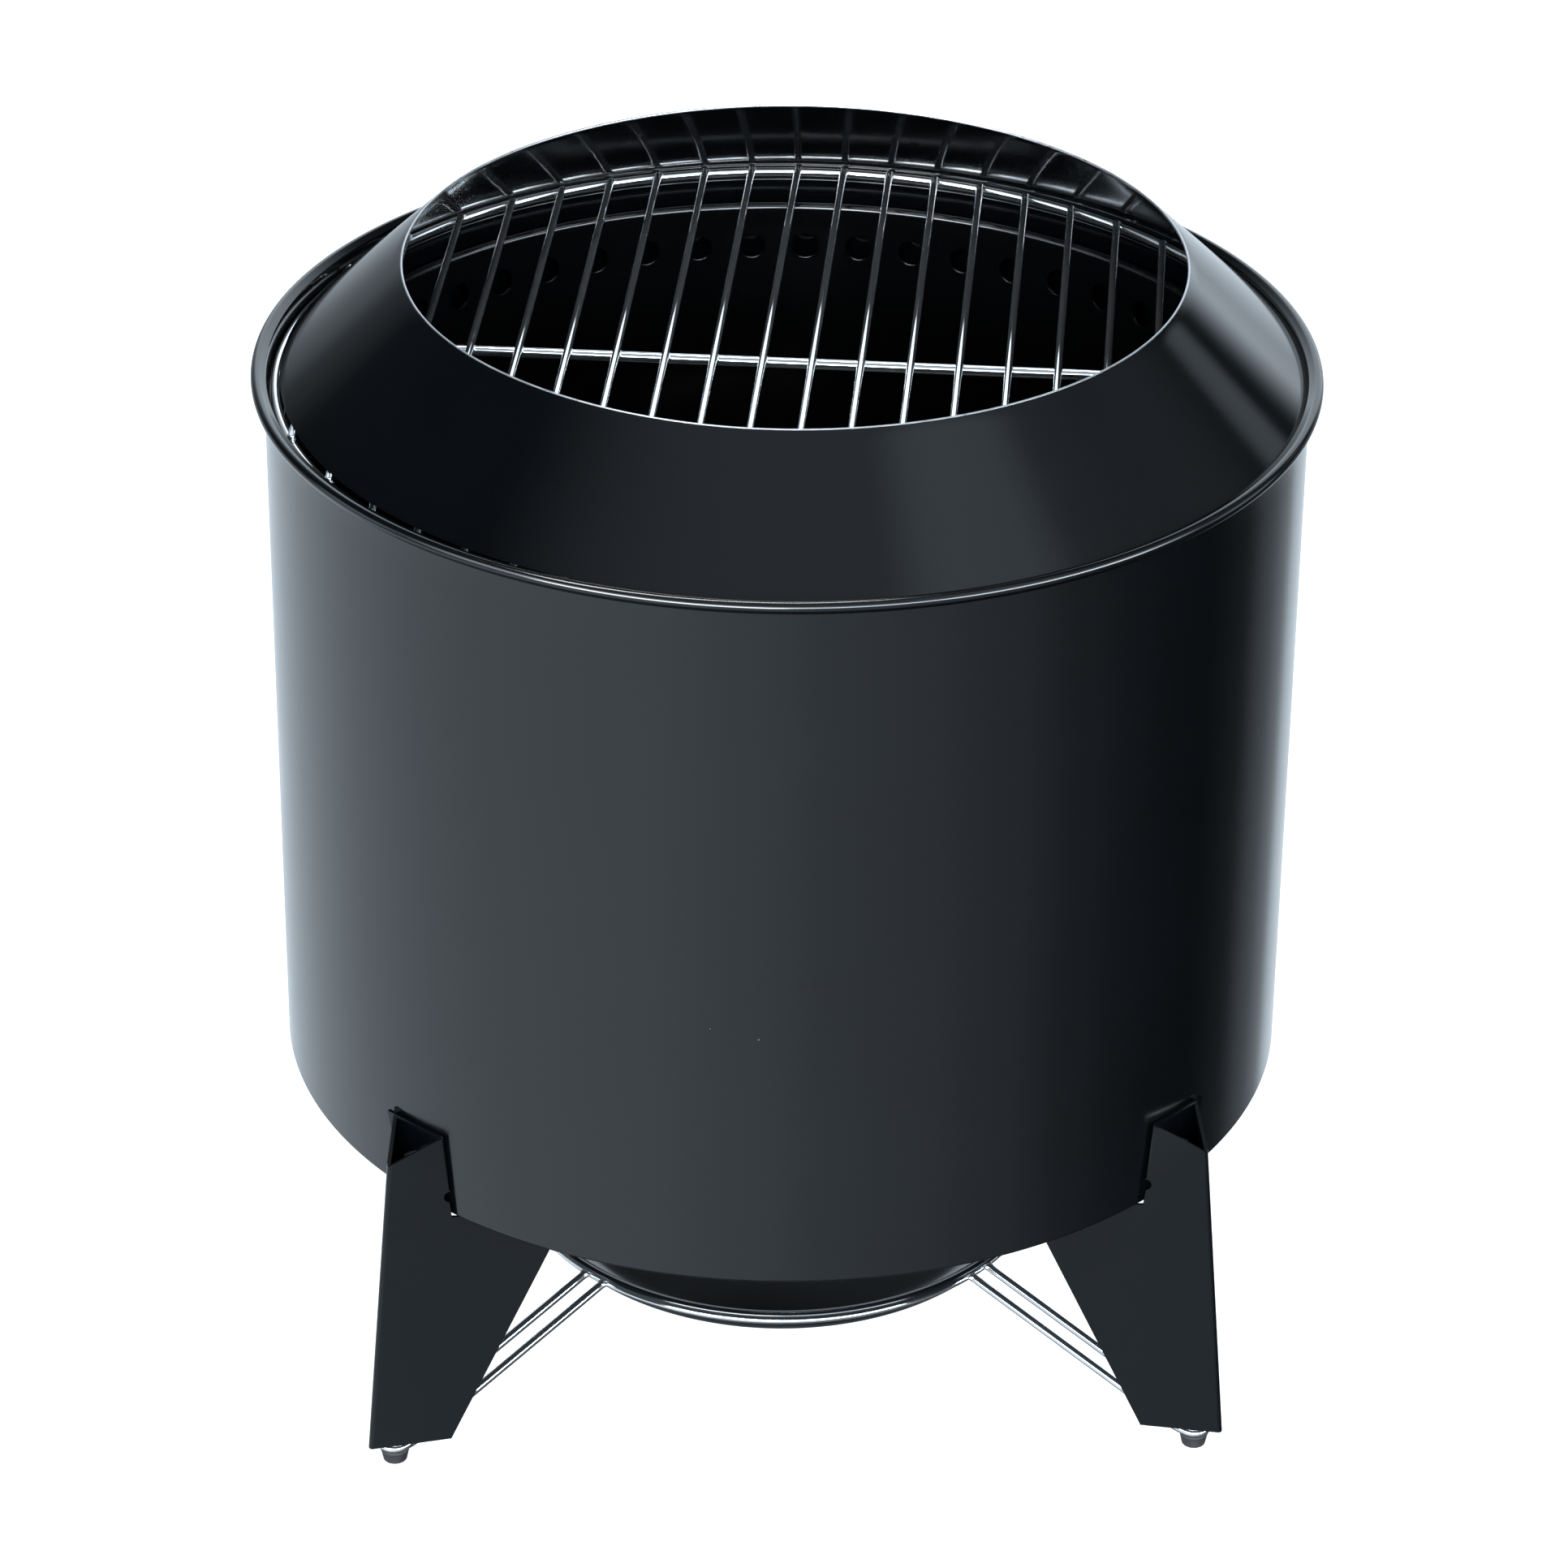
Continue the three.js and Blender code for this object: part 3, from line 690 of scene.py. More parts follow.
# ---------------------------------------------------------------- grates
def cooking_grate():
    """Chromed grate: a ring, rods across it and one thicker cross wire below them.

    Front rod ends, apart from the lapped ones, bend down and meet the inside of the ring.
    """
    ring_height = GRATE_HEIGHT - GRATE_ROD - GRATE_RING_WIRE + 0.5
    cross_height = GRATE_HEIGHT - GRATE_ROD - GRATE_CROSS + 0.5
    shape = Shape()
    shape.add(*tube(circle(GRATE_RING, ring_height, 240), GRATE_RING_WIRE, 18, closed=True))
    draws = random.Random(11)
    for i in range(GRATE_RODS):
        x = (i - (GRATE_RODS - 1) / 2) * GRATE_PITCH + GRATE_ROD_SHIFT
        lapped = i < GRATE_LAPPED_RODS
        proud = 0.9 if lapped else -2.4
        dip = GRATE_PRESS if lapped else GRATE_ROD + GRATE_RING_WIRE + 0.3
        reach = sqrt((GRATE_RING + proud) ** 2 - x**2)
        rise = [draws.uniform(-0.25, 0.12) for _ in range(5)]
        inset = [GRATE_PRESS_LENGTH * k / 7 for k in range(7)]
        places = [-reach + d for d in inset]
        places += [(2 * k / 12 - 1) * (reach - GRATE_PRESS_LENGTH) for k in range(13)]
        places += [reach - d for d in reversed(inset)]
        path = []
        for y in places:
            t = 0.5 + 0.5 * y / reach
            sag = rise[0] * sin(pi * t) + rise[1] * sin(2 * pi * t)
            from_end = min((reach - abs(y)) / GRATE_PRESS_LENGTH, 1)
            depth = dip if y < 0 else GRATE_PRESS
            press = depth * 0.5 * (1 + cos(pi * from_end))
            sway = rise[2] * sin(pi * t)
            path.append((x + sway, y, GRATE_HEIGHT + 0.5 * sag - press))
        shape.add(*tube(path, GRATE_ROD, 16))
        meet = sqrt(GRATE_RING**2 - x**2)
        for side in (-1, 1):
            bead = (x, side * meet, ring_height + GRATE_RING_WIRE - 0.5)
            if side > 0 or lapped:
                shape.add(*blob(bead, (2.6, 2.5, 1.0)))
        if abs(x) < GRATE_RING - 5:
            bead = (x, GRATE_CROSS_SHIFT, cross_height + GRATE_CROSS - 0.3)
            shape.add(*blob(bead, (2.7, 2.4, 0.9)))
    reach = sqrt(GRATE_RING**2 - GRATE_CROSS_SHIFT**2)
    steps = 24
    along = [-reach + 2 * reach * k / steps for k in range(steps + 1)]
    path = [(x, GRATE_CROSS_SHIFT, cross_height) for x in along]
    shape.add(*tube(path, GRATE_CROSS, 18))
    shape.moved(turn_z(GRATE_TURN))
    body, slot = "cooking_grate_body", "chrome_wire"
    make("grate", shape, CHROME, body, ["cooking_grate"])


def fuel_grate():
    """Round grate of plain steel wire that carries the fire."""
    wire = 3
    ring = fuel_high.x - wire
    ring_height = fuel_low.z + wire * 0.9
    bars, pitch = 9, 25
    shape = Shape()
    shape.add(*tube(circle(ring, ring_height, 96), wire, 14, closed=True))
    for i in range(bars):
        x = (i - (bars - 1) / 2) * pitch
        reach = sqrt(ring**2 - x**2)
        height = ring_height + wire
        path = [(x, -reach + 2 * reach * k / 6, height) for k in range(7)]
        shape.add(*tube(path, wire, 14))
        for side in (-1, 1):
            bead = (x, side * (reach - 0.5), ring_height + wire * 0.6)
            shape.add(*blob(bead, (3.6, 3.2, 1.5)))
    body, slot = "fuel_grate_body", "grate_steel"
    make("fire_grate", shape, GRATE_STEEL, body, ["fuel_grate"])


# ---------------------------------------------------------------- flame collar
def collar():
    """Loose cone collar with a rolled lip, a butt weld and a bare bright edge."""
    low, high = collar_low.z, collar_high.z
    slope = atan2(high - low, COLLAR_FOOT - COLLAR_MOUTH)
    along = Vector((-cos(slope), sin(slope)))
    inward = Vector((-sin(slope), -cos(slope))) * SHEET
    foot = Vector((COLLAR_FOOT, low + 0.4)) - along * 1.3
    top = Vector((COLLAR_MOUTH, high))
    steps = 14
    corner = 0.68
    outside = [foot.lerp(top - along * corner, k / steps) for k in range(steps + 1)]
    inside = [p + inward for p in reversed(outside)]
    inside = [Vector((p.x, max(p.y, foot.y - 0.1))) for p in inside]
    lip = []
    for k in range(1, 10):
        turn = pi * k / 10
        fall = along * corner * (sin(turn) - 1)
        lip.append(top + fall + inward * (0.5 - 0.5 * cos(turn)))
    profile = [tuple(p) for p in [*outside, *lip, *inside]]

    def weld(r, z, a):
        """Butt seam at the rear, a little to the right, with one coarser spot of weld."""
        off = (a - radians(86.5)) * r
        raised = 0.22 * exp(-((off / 1.1) ** 2))
        spot = 0.9 * exp(-((off / 2.2) ** 2) - ((z - high + 26) / 2.4) ** 2)
        wave = 0.25 * sin(3 * a + 0.6) + 0.15 * sin(7 * a + 2)
        swell = 0.18 * sin(5 * a + 1) * (z - low) / (high - low)
        return r - raised - spot + wave * 0.6, z + swell

    shift = Matrix.Translation((COLLAR_SHIFT, 0, 0))
    shape = Shape(*lathe(profile, ROUND, weld)).moved(shift)
    body = "flame_collar_body"
    make("collar", shape, COLLAR_ENAMEL, body, ["flame_collar"])
    middle = top + inward * 0.5 - along * corner
    edge_radius = 0.74
    edge = [tuple(middle + edge_radius * Vector(p)) for p in arc(0, 0, 1, 0, 330, 11)]
    shape = Shape(*lathe(edge, ROUND, weld)).moved(shift)
    make("collar_edge", shape, EDGE_METAL, body)


# ---------------------------------------------------------------- legs
LEG_HALF_ANGLE = radians(41)
LEG_SHEET = 2.0
FOLD_TOP = (303, leg_high.z - 16.8)
FOLD_BOTTOM = (322.6, leg_low.z)
FOLD_SLOPE = (FOLD_TOP[0] - FOLD_BOTTOM[0]) / (FOLD_TOP[1] - FOLD_BOTTOM[1])
FOLD_RADIUS = 2.8
TAB_FACE = 279.3
FAR_EDGE = TAB_FACE - 1.6
NOTCH = DRUM_BOTTOM - 0.4
NOTCH_INNER = 231.9
INNER_BOTTOM = (288.5, FOLD_BOTTOM[1] + 4.8)
TAB_GAP = 5
SLOT_HEIGHT = 170
SLOT_RADIUS = 3.2
TAB_BEND = 1.6
BOLT_HEIGHT = 185
NUT_RADIUS = 5.6
STUD_RADIUS = 3


def fold_at(z):
    """Distance of the leg's fold from the axis, moved out a little for its rounding."""
    return FOLD_BOTTOM[0] + (z - FOLD_BOTTOM[1]) * FOLD_SLOPE + 0.5


def leg_outline():
    """The leg's developed outline, as (distance from the fold, height), tab side positive."""

    def out(r, z, side):
        return side * (fold_at(z) - r) / cos(LEG_HALF_ANGLE), z

    centre = out(TAB_FACE, SLOT_HEIGHT, 1)
    bolt_slot = []
    for k in range(9):
        a = radians(-90 + 180 * k / 8)
        spot = (centre[0] - SLOT_RADIUS * cos(a), centre[1] + SLOT_RADIUS * sin(a))
        bolt_slot.append(spot)
    drum_edge = out(TAB_FACE, NOTCH + 4, 1)[0]
    width = 2 * (fold_at(BOLT_HEIGHT) - TAB_FACE) * tan(LEG_HALF_ANGLE) - TAB_GAP
    tab_low = SLOT_HEIGHT + 5
    tab_edge = out(TAB_FACE, tab_low, 1)[0]
    near = [
        out(fold_at(FOLD_BOTTOM[1]), FOLD_BOTTOM[1], 1),
        out(*INNER_BOTTOM, 1),
        out(NOTCH_INNER, NOTCH, 1),
        out(TAB_FACE, NOTCH, 1),
        *bolt_slot,
        (tab_edge, tab_low),
        (tab_edge + width, tab_low),
        (drum_edge + width - 2, leg_high.z - 1.5),
        out(TAB_FACE, leg_high.z, 1),
    ]
    far = [
        out(FAR_EDGE, leg_high.z, -1),
        out(FAR_EDGE, NOTCH, -1),
        out(NOTCH_INNER, NOTCH, -1),
        out(*INNER_BOTTOM, -1),
    ]
    return near + [(0, FOLD_TOP[1])] + far


def leg_point(u, z):
    """Where a point of the developed outline lies.

    The fold is rounded, the flanges are flat and the tab is folded along the drum.
    """
    half = LEG_HALF_ANGLE
    tangent = FOLD_RADIUS / tan(half)
    side = 1 if u >= 0 else -1
    reach = abs(u)
    base = fold_at(z)
    if reach < tangent:
        phi = (pi / 2 - half) * reach / tangent
        centre = -FOLD_RADIUS / sin(half)
        return (base + centre + FOLD_RADIUS * cos(phi), side * FOLD_RADIUS * sin(phi), z)
    edge = (base - TAB_FACE) / cos(half)
    if side > 0 and z > SLOT_HEIGHT + 4 and reach > edge - TAB_BEND:
        over = reach - (edge - TAB_BEND)
        turn = pi - (pi / 2 - half)
        radius = 0.8 * TAB_BEND
        arc_length = radius * turn
        share = min(over / arc_length, 1)
        straight = edge - TAB_BEND
        start = Vector((base - straight * cos(half), straight * sin(half)))
        heading = pi - half
        along = Vector((cos(heading), sin(heading)))
        normal = Vector((-along.y, along.x))
        swing = share * turn
        spot = start + normal * radius * (1 - cos(swing)) + along * radius * sin(swing)
        if share >= 1:
            final = heading + turn
            spot += Vector((cos(final), sin(final))) * (over - arc_length)
        return (spot.x, spot.y, z)
    return (base - reach * cos(half), side * reach * sin(half), z)


def leg_sheet(place, azimuth):
    """One folded leg: the flat outline is cut along its bends, folded, and given its thickness."""
    side = TAB_SIDE[place]
    work = bmesh.new()
    outline = leg_outline()
    work.faces.new([work.verts.new((u, 0, z)) for u, z in outline])
    tangent = FOLD_RADIUS / tan(LEG_HALF_ANGLE)
    for k in range(-6, 7):
        everything = work.verts[:] + work.edges[:] + work.faces[:]
        spot = (tangent * k / 6, 0, 0)
        bmesh.ops.bisect_plane(work, geom=everything, dist=1e-5, plane_co=spot, plane_no=(1, 0, 0))
    slant = Vector((1, 0, -FOLD_SLOPE / cos(LEG_HALF_ANGLE)))
    bend_start = (fold_at(BOLT_HEIGHT) - TAB_FACE) / cos(LEG_HALF_ANGLE) - TAB_BEND
    bend_span = 2.99
    for k in range(9):
        everything = work.verts[:] + work.edges[:] + work.faces[:]
        spot = (bend_start + bend_span * k / 8, 0, BOLT_HEIGHT)
        bmesh.ops.bisect_plane(work, geom=everything, dist=1e-5, plane_co=spot, plane_no=slant)
    bmesh.ops.triangulate(work, faces=work.faces[:], quad_method="BEAUTY", ngon_method="BEAUTY")
    work.verts.index_update()
    verts = []
    for v in work.verts:
        x, y, z = leg_point(v.co.x, v.co.z)
        verts.append((x, side * y, z))
    faces = [[v.index for v in f.verts] for f in work.faces]
    work.free()
    shape = Shape(verts, faces).moved(turn_z(azimuth))
    node = "leg_" + place
    name = "folded_" + node
    sharp = 50
    piece = make(name, shape, LEG_PAINT, "pit", [node], sharp)
    towards_axis = -(turn_z(azimuth) @ Vector((1, 0, 0)))
    total = Vector((0, 0, 0))
    for polygon in piece.data.polygons:
        total += polygon.normal * polygon.area
    thick = piece.modifiers.new("sheet", "SOLIDIFY")
    thick.thickness = LEG_SHEET * MM
    thick.offset = -1 if total.dot(towards_axis) < 0 else 1
    thick.use_even_offset = True
    edges = piece.modifiers.new("edges", "BEVEL")
    edges.width = 0.5 * MM
    edges.segments = 2
    edges.limit_method = "ANGLE"
    edges.angle_limit = radians(sharp)
    edges.harden_normals = True


def hexagon(radius, low, high):
    """Hex nut body with chamfered corners, as rows of a 6-sided prism meeting a cone."""
    across = radius * cos(pi / 6)
    chamfer = 0.5
    segments = 48
    verts = []

    def row(height, limit):
        for k in range(segments):
            a = 2 * pi * k / segments
            wrapped = (a % (pi / 3)) - pi / 6
            flat = across / cos(wrapped)
            r = min(flat, limit)
            verts.append((r * cos(a), r * sin(a), height))

    row(low, across * 0.97)
    row(low + chamfer, radius)
    row((low + high) / 2, radius)
    row(high - chamfer, radius)
    row(high, across * 0.97)
    return verts, stacked(5, segments)


def thread(radius, low, high, pitch=1.0, depth=0.32):
    """Threaded shank with a real helix, closed at both ends."""
    segments, per_turn = 32, 8
    rows = int((high - low) / pitch * per_turn)
    verts = []
    for i in range(rows + 1):
        z = low + (high - low) * i / rows
        fade = min(1, 12 * i / rows, 12 * (rows - i) / rows)
        for k in range(segments):
            a = 2 * pi * k / segments
            phase = (z / pitch - k / segments) % 1
            r = radius - depth * (0.5 + 0.5 * cos(2 * pi * phase)) * fade
            if i in (0, rows):
                r = radius * 0.85
            verts.append((r * cos(a), r * sin(a), z))
    return verts, stacked(rows + 1, segments)


def washer(radius, bore, low, high):
    """Flat washer with chamfered edges."""
    edge = 0.25
    profile = [
        (bore, low),
        (radius - edge, low),
        (radius, low + edge),
        (radius, high - edge),
        (radius - edge, high),
        (bore, high),
    ]
    return lathe(profile, 48)


def leg_hardware(place, azimuth):
    """Domed bolt and nut through the tab and the drum wall."""
    level = Matrix.Translation((0, 0, BOLT_HEIGHT))
    stand = turn_z(azimuth) @ level @ Matrix.Rotation(pi / 2, 4, "Y")
    head_face = DRUM_RADIUS - SHEET - 1.2
    head = [
        (0, -3.4),
        (1.8, -3.3),
        (3.6, -2.8),
        (5.0, -1.8),
        (5.8, -0.7),
        (6, -0.2),
        (6, 0),
        (2.9, 0),
        (2.9, 0.4),
        (0, 0.4),
    ]
    bolt = Shape()
    bolt.add(*lathe(head, 48, closed=False))
    bolt.add(*thread(STUD_RADIUS, 0.2, 13.5))
    bolt.moved(stand @ Matrix.Translation((0, 0, head_face)))
    make("bolt_" + place, bolt, ZINC, "pit", ["leg_bolt_" + place])
    nut_face = TAB_FACE + LEG_SHEET
    nut = Shape()
    nut.add(*hexagon(NUT_RADIUS, 0.2, 5.2))
    nut.moved(stand @ Matrix.Translation((0, 0, nut_face)))
    make("nut_" + place, nut, ZINC, "pit", ["leg_nut_" + place])


# ---------------------------------------------------------------- feet and braces
FOOT_CIRCLE = 303.3
LOOP_HEIGHT = 10.8
HALF_GAP = 7  # half the distance between the two wires of a hairpin
BRACE_WIRE = 2.4


def leg_shelf(place, azimuth):
    """Shelf across the leg's fold, which the stud passes through."""
    height = 19
    spread = tan(LEG_HALF_ANGLE)
    inner, outer = FOOT_CIRCLE - 11, FOOT_CIRCLE + 14
    fold = fold_at(height) - LEG_SHEET / sin(LEG_HALF_ANGLE)
    corners = [(inner, (fold - inner) * spread), (outer, (fold - outer) * spread)]
    corners = corners + [(x, -y) for x, y in reversed(corners)]
    outline = rounded(corners, [0.8] * 4)
    verts = [(x, y, z) for z in (height, height + LEG_SHEET) for x, y in outline]
    shape = Shape(verts, stacked(2, len(outline))).moved(turn_z(azimuth))
    make("foot_shelf_" + place, shape, LEG_PAINT, "pit")


def foot(place, azimuth):
    """Rubber foot with its stud, washer and two nuts."""
    top, toe, wide = 8, 6.6, 8.1
    profile = [
        (0, 0),
        (toe - 1.2, 0),
        *arc(toe - 0.9, 0.9, 0.9, -80, -8, 4),
        (wide - 0.3, top - 1.4),
        *arc(wide - 0.8, top - 0.8, 0.8, 0, 85, 4),
        (3.6, top),
        (3.3, top - 0.4),
        (3.3, 4),
        (0, 4),
    ]
    centre = turn_z(azimuth) @ Matrix.Translation((FOOT_CIRCLE, 0, 0))
    shape = Shape(*lathe(profile, 48, closed=False)).moved(centre)
    name, node = "rubber_foot_" + place, "foot_" + place
    make(name, shape, RUBBER, "pit", [node])
    washer_low = LOOP_HEIGHT + BRACE_WIRE + 0.2
    metal = Shape()
    metal.add(*thread(STUD_RADIUS, 4.3, 27))
    metal.add(*washer(8, 2.8, washer_low, washer_low + 1.2))
    metal.add(*hexagon(NUT_RADIUS, washer_low + 1.2, 18.8))
    metal.add(*hexagon(NUT_RADIUS, 21.2, 25.4))
    metal.moved(centre)
    make("stud_" + place, metal, ZINC, "pit", ["foot_stud_" + place])


def brace(place, azimuth):
    """Hairpin of wire from the pan's ring round the stud of one foot and back."""
    inner, start = 150.0, 294
    rise = ring_low.z + 1.9
    drop = LOOP_HEIGHT + 0.3 - rise
    path = []
    for k in range(9):
        t = k / 8
        path.append((inner + (start - inner) * t, HALF_GAP, rise + drop * t))
    path.append((start + 1.6, HALF_GAP, LOOP_HEIGHT + 0.08))
    path.append((start + 4, HALF_GAP, LOOP_HEIGHT))
    mirrored = [(x, -y, z) for x, y, z in reversed(path)]
    loop = []
    for k in range(17):
        a = pi / 2 - pi * k / 16
        loop.append((FOOT_CIRCLE + HALF_GAP * cos(a), HALF_GAP * sin(a), LOOP_HEIGHT))
    shape = Shape(*tube(path + loop + mirrored, BRACE_WIRE, 16))
    for side in (-1, 1):
        bead = (inner + 0.6, side * HALF_GAP, rise + 0.2)
        shape.add(*blob(bead, (2.4, 3.1, 2.3)))
    shape.moved(turn_z(azimuth))
    name, node = "hairpin_" + place, "brace_" + place
    make(name, shape, CHROME, "pit", [node])


# ---------------------------------------------------------------- ash pan
def ash_pan():
    """Pressed dish with a rolled rim."""
    floor, sheet = pan_low.z, 1.2
    bead = 2.3
    rim_height = pan_high.z - bead
    rim = pan_high.x - bead
    wall, flat, rise = rim - 4, 112, 22
    span = wall - flat

    def curve(inset):
        points = []
        for k in range(15):
            a = pi / 2 * k / 14
            r = flat + (span - inset) * sin(a)
            points.append((r, floor + rise - (rise - inset) * cos(a)))
        return points

    profile = [
        (0, floor),
        (60, floor),
        *curve(0),
        (wall + 0.2, rim_height - 1.9),
        *arc(rim, rim_height, bead, -120, 150, 14),
        (wall - sheet + 0.4, rim_height),
        *reversed(curve(sheet)),
        (60, floor + sheet),
        (0, floor + sheet),
    ]
    shape = Shape(*lathe(profile, 288, closed=False))
    make("pan", shape, PAN_ENAMEL, "ash_pan_body", ["ash_pan"])


def pan_ring():
    """Wire ring on the hairpins, which carries the ash pan."""
    wire = 2
    height = (ring_low.z + ring_high.z) / 2
    shape = Shape(*tube(circle(ring_high.x - wire, height, 144), wire, 16, closed=True))
    make("pan_support_ring", shape, CHROME, "pit", ["pan_ring"])


# ---------------------------------------------------------------- studio
# Headings are in degrees from the front towards +X. Heights in ramps run from 0, straight down,
# over 0.5, the horizon, to 1, straight up.
COOL_WHITE = (0.87, 1.0, 1.11)
# soft patches of light: heading and height in degrees, reach in degrees, strength
SKY_PATCHES = (
    (56, 55, 17, 0.46),
    (6, 63, 56, 0.38),
    (128, 17, 6, 0.5),
    (98, 37, 32, 0.17),
    (103, 6, 15, 1.7),
    (-101, 8, 15, 1.7),
)
# brightness of the floor by heading and by height
FLOOR_STRENGTH = 1.15
FLOOR_GLOW = (
    (-90, 1.0), (-60, 1.0), (-36, 0.88), (-10, 0.70), (9, 0.52), (28, 0.42), (47, 0.28),
    (68, 0.115), (79, 0.055), (91, 0.024), (105, 0.012), (118, 0.04), (132, 0.21),
    (142, 0.36), (152, 0.85), (165, 1.0), (270, 1.0),
)
FLOOR_HEIGHTS = ((0.0, 0.1), (0.13, 0.12), (0.2, 1), (0.475, 1), (0.535, 0))
# how far the floor is dimmed, on its left side, by heading and by height
DIMMED_SIDE = ((-90, 1), (-60, 0.3), (-30, 0), (172, 0), (186, 1), (270, 1))
DIMMED_HEIGHTS = ((0.27, 0), (0.345, 0.52), (0.405, 0.56), (0.465, 0.69), (0.53, 0.85))
# bands above the horizon: brightness by heading, share by height, strength
BACKDROP = (
    ((-90, 0), (135, 0), (147, 1), (187, 1), (204, 0.2), (214, 0.06), (225, 0), (270, 0)),
    ((0, 0), (0.475, 0), (0.53, 1), (0.75, 1), (0.83, 0)),
    1.7,
)
FRONT_WALL = (
    (
        (-90, 0.1), (-72, 0.8), (-40, 1), (12, 1), (34, 0.5),
        (80, 0.45), (98, 0), (258, 0), (270, 0.1),
    ),
    ((0, 0), (0.545, 0), (0.59, 1), (0.78, 1), (0.83, 0)),
    3.6,
)
FRONT_STRIP = (
    ((-90, 0.03), (-62, 0.2), (-46, 1), (66, 1), (94, 0), (262, 0), (270, 0.03)),
    ((0, 0), (0.61, 0), (0.632, 1), (0.68, 1), (0.7, 0)),
    16,
)
AMBIENT_HEIGHTS = ((0.44, 0.004), (0.56, 0.034))
# name, centre, size, aim, watts, seen in the gloss only
PANELS = (
    ("overhead", (-0.4, 0.55, 2.8), (1.8, 0.3), (0, 0, 0.5), 34, False),
    ("key_left", (-1.3, -2.5, 1.12), (2.6, 0.7), (0, 0.1, 0.56), 95, True),
    ("key_right", (2.1, -1.7, 1.2), (2.2, 0.6), (0, 0.1, 0.56), 22, True),
)
FLOOR_REACH = 30


def panel(name, centre, size, aim, power, gloss_only):
    """Soft rectangular light facing a point."""
    light = bpy.data.lights.new(name, "AREA")
    light.shape = "RECTANGLE"
    light.size, light.size_y = size
    light.energy = power
    lamp = bpy.data.objects.new(name, light)
    lamp.location = centre
    lamp.rotation_euler = (Vector(aim) - Vector(centre)).to_track_quat("-Z", "Y").to_euler()
    lamp.visible_camera = False
    lamp.visible_diffuse = not gloss_only
    bpy.context.scene.collection.objects.link(lamp)


def around(tree, place, stops):
    """Brightness by heading: stops of (heading, value), from -90 to 270 degrees."""
    node = tree.nodes.new("ShaderNodeTexGradient")
    node.gradient_type = "RADIAL"
    tree.links.new(place, node.inputs[0])
    shares = [((heading + 90) / 360, value) for heading, value in stops]
    return ramp(tree, node.outputs["Fac"], shares, "EASE")


def lobe(tree, place, heading, height, reach, strength):
    """A soft round patch of sky: strength at its middle, nothing beyond reach degrees."""
    heading, height = radians(heading), radians(height)
    node = tree.nodes.new("ShaderNodeVectorMath")
    node.operation = "DOT_PRODUCT"
    x, y = sin(heading) * cos(height), -cos(heading) * cos(height)
    node.inputs[1].default_value = (x, y, sin(height))
    tree.links.new(place, node.inputs[0])
    spread = tree.nodes.new("ShaderNodeMapRange")
    spread.interpolation_type = "SMOOTHSTEP"
    tree.links.new(node.outputs["Value"], spread.inputs["Value"])
    spread.inputs["From Min"].default_value = cos(radians(reach))
    spread.inputs["From Max"].default_value = 1
    spread.inputs["To Max"].default_value = strength
    return spread.outputs[0]


def sky():
    """The room seen in the gloss: the pale floor, its backdrop and what stands in front."""
    world = bpy.data.worlds.new("studio")
    bpy.context.scene.world = world
    world.use_nodes = True
    tree = world.node_tree
    tree.nodes.clear()
    out = tree.nodes.new("ShaderNodeOutputWorld")
    back = tree.nodes.new("ShaderNodeBackground")
    tree.links.new(back.outputs[0], out.inputs[0])
    place = tree.nodes.new("ShaderNodeTexCoord").outputs["Generated"]
    split = tree.nodes.new("ShaderNodeSeparateXYZ")
    tree.links.new(place, split.inputs[0])
    height = calculated(tree, "MULTIPLY", calculated(tree, "ADD", split.outputs["Z"], 1), 0.5)

    def times(first, second):
        return calculated(tree, "MULTIPLY", first, second)

    glow = times(around(tree, place, FLOOR_GLOW), ramp(tree, height, FLOOR_HEIGHTS))
    dimmed = times(around(tree, place, DIMMED_SIDE), ramp(tree, height, DIMMED_HEIGHTS))
    total = times(times(glow, calculated(tree, "SUBTRACT", 1, dimmed)), FLOOR_STRENGTH)
    for patch in SKY_PATCHES:
        total = calculated(tree, "ADD", total, lobe(tree, place, *patch))
    total = calculated(tree, "MINIMUM", total, 1)
    for headings, heights, strength in (BACKDROP, FRONT_WALL, FRONT_STRIP):
        band = times(around(tree, place, headings), ramp(tree, height, heights))
        total = calculated(tree, "ADD", total, times(band, strength))
    total = calculated(tree, "ADD", total, ramp(tree, height, AMBIENT_HEIGHTS))
    back.inputs["Color"].default_value = (*COOL_WHITE, 1)
    tree.links.new(total, back.inputs["Strength"])


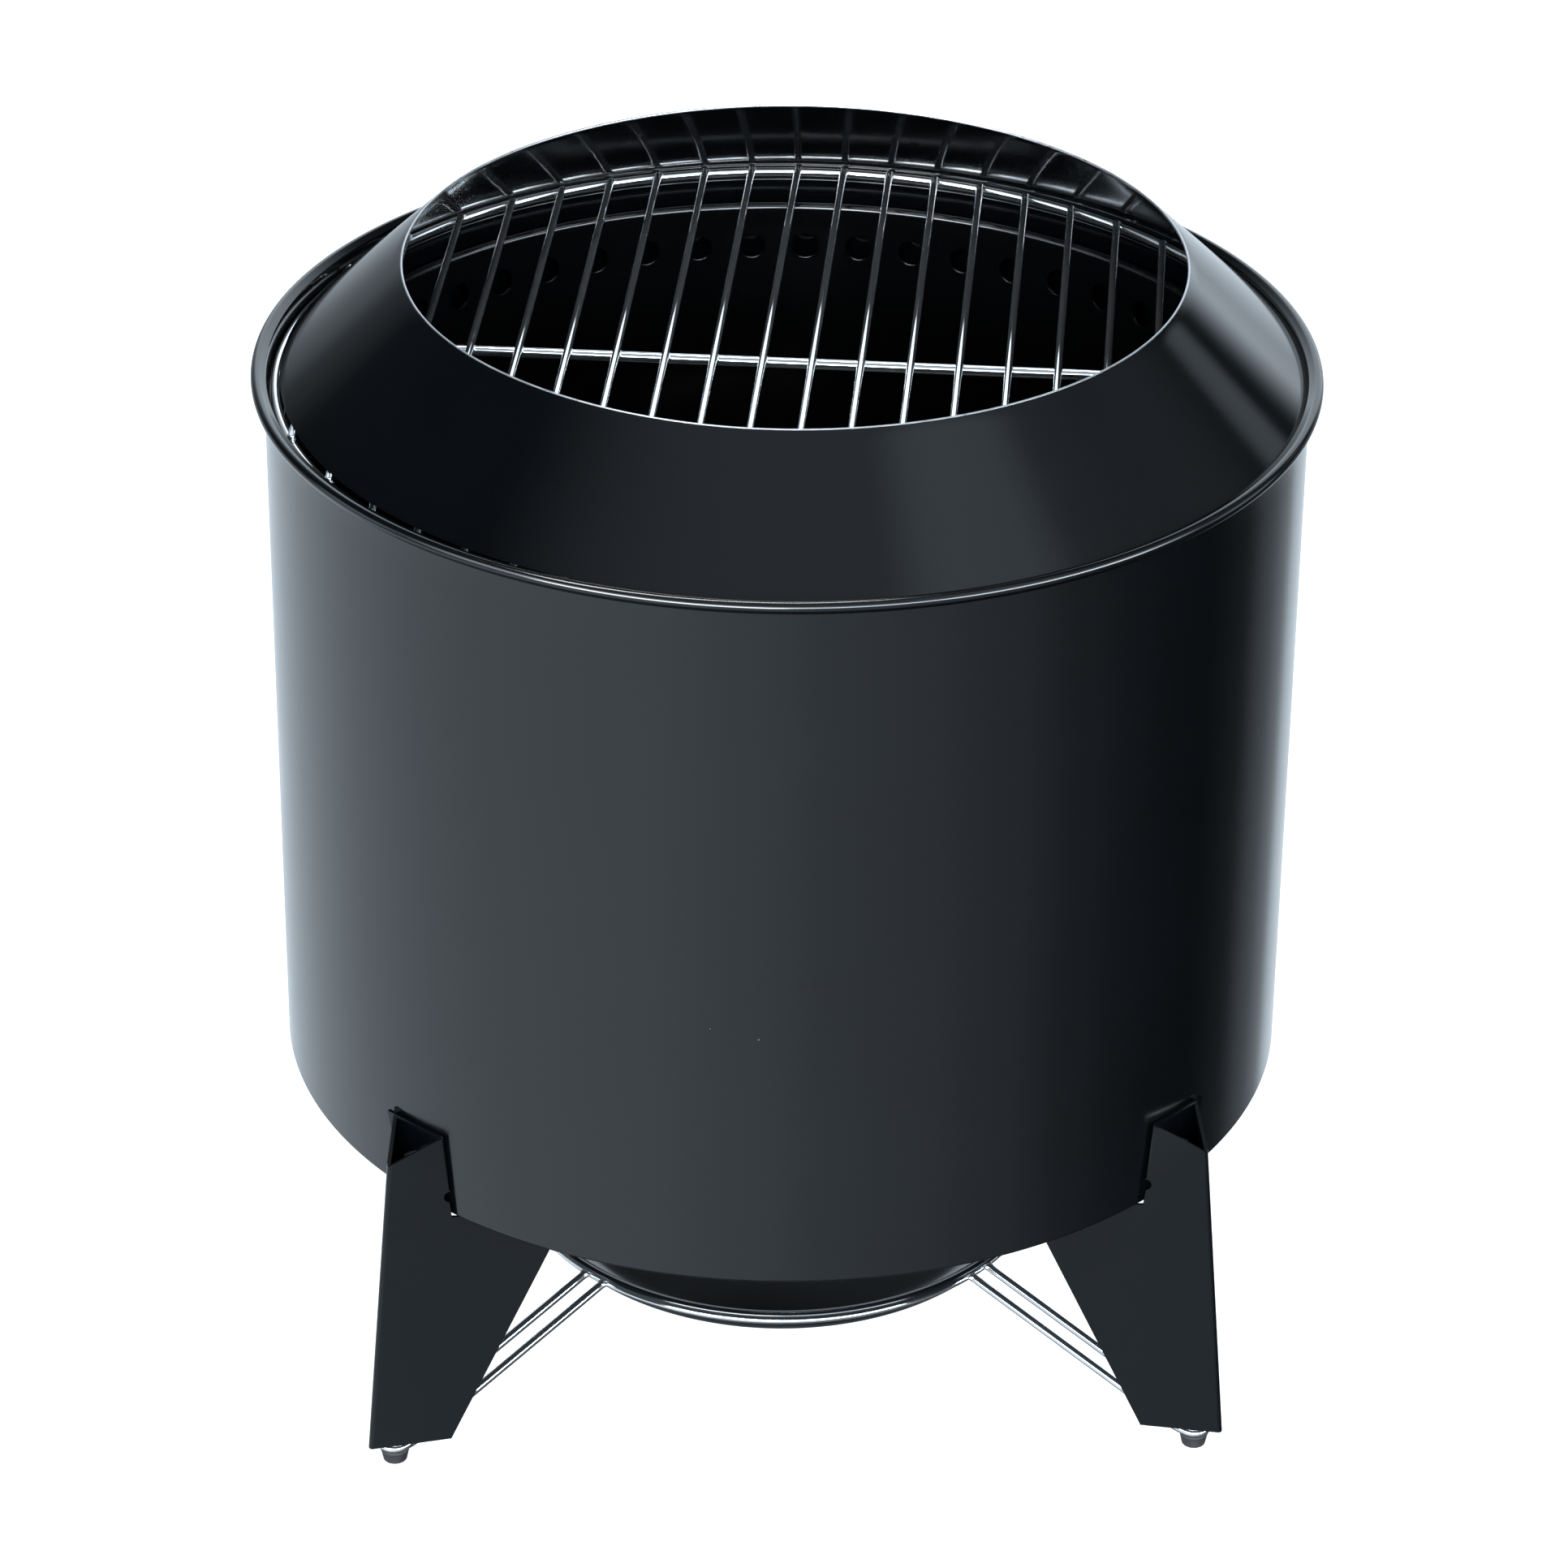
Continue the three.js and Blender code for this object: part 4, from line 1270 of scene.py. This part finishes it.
def studio():
    """Light, and the white floor, which the gloss sees as the lower half of the sky."""
    sky()
    paper, tree, shader, spot = new_material("white_paper")
    tone = ramp(tree, noise(tree, spot, 3, 3), [(0.3, 0.40), (0.7, 0.42)])
    tree.links.new(tone, shader.inputs["Base Color"])
    shader.inputs["Roughness"].default_value = 1
    shader.inputs["Specular IOR Level"].default_value = 0
    shader.inputs["Emission Color"].default_value = (1, 1, 1, 1)
    shader.inputs["Emission Strength"].default_value = 1.0
    paper.cycles.emission_sampling = "NONE"
    mesh = bpy.data.meshes.new("floor")
    corners = ((-1, -1), (1, -1), (1, 1), (-1, 1))
    verts = [(FLOOR_REACH * x, FLOOR_REACH * y, 0) for x, y in corners]
    mesh.from_pydata(verts, [], [(0, 1, 2, 3)])
    mesh.materials.append(paper)
    ground = bpy.data.objects.new("floor", mesh)
    ground.visible_glossy = False
    ground.visible_shadow = False
    bpy.context.scene.collection.objects.link(ground)
    for settings in PANELS:
        panel(*settings)


def camera():
    lens = bpy.data.cameras.new("camera")
    lens.lens = CAMERA_LENS
    lens.sensor_width = 36
    lens.clip_start = 0.05
    lens.clip_end = 100
    tilt, heading, roll = (radians(a) for a in CAMERA_TURN)
    eye = bpy.data.objects.new("camera", lens)
    turn = Matrix.Rotation(heading, 4, "Z") @ Matrix.Rotation(tilt, 4, "X")
    turn = turn @ Matrix.Rotation(roll, 4, "Z")
    eye.matrix_world = Matrix.Translation(CAMERA_PLACE) @ turn
    bpy.context.scene.collection.objects.link(eye)
    bpy.context.scene.camera = eye
    bpy.context.scene.view_settings.view_transform = "Standard"


# ---------------------------------------------------------------- making
camera()
drum()
base()
bowl()
for number in range(4):
    bowl_stand(f"bowl_stand_{number + 1}", 90 * number)
cooking_grate()
fuel_grate()
collar()
for place in PLACES:
    foot_low, foot_high = box_mm("foot_" + place)
    middle = (foot_low + foot_high) / 2
    azimuth = degrees(atan2(middle.y, middle.x))
    leg_sheet(place, azimuth)
    leg_shelf(place, azimuth)
    leg_hardware(place, azimuth)
    foot(place, azimuth)
    brace(place, azimuth)
ash_pan()
pan_ring()
studio()
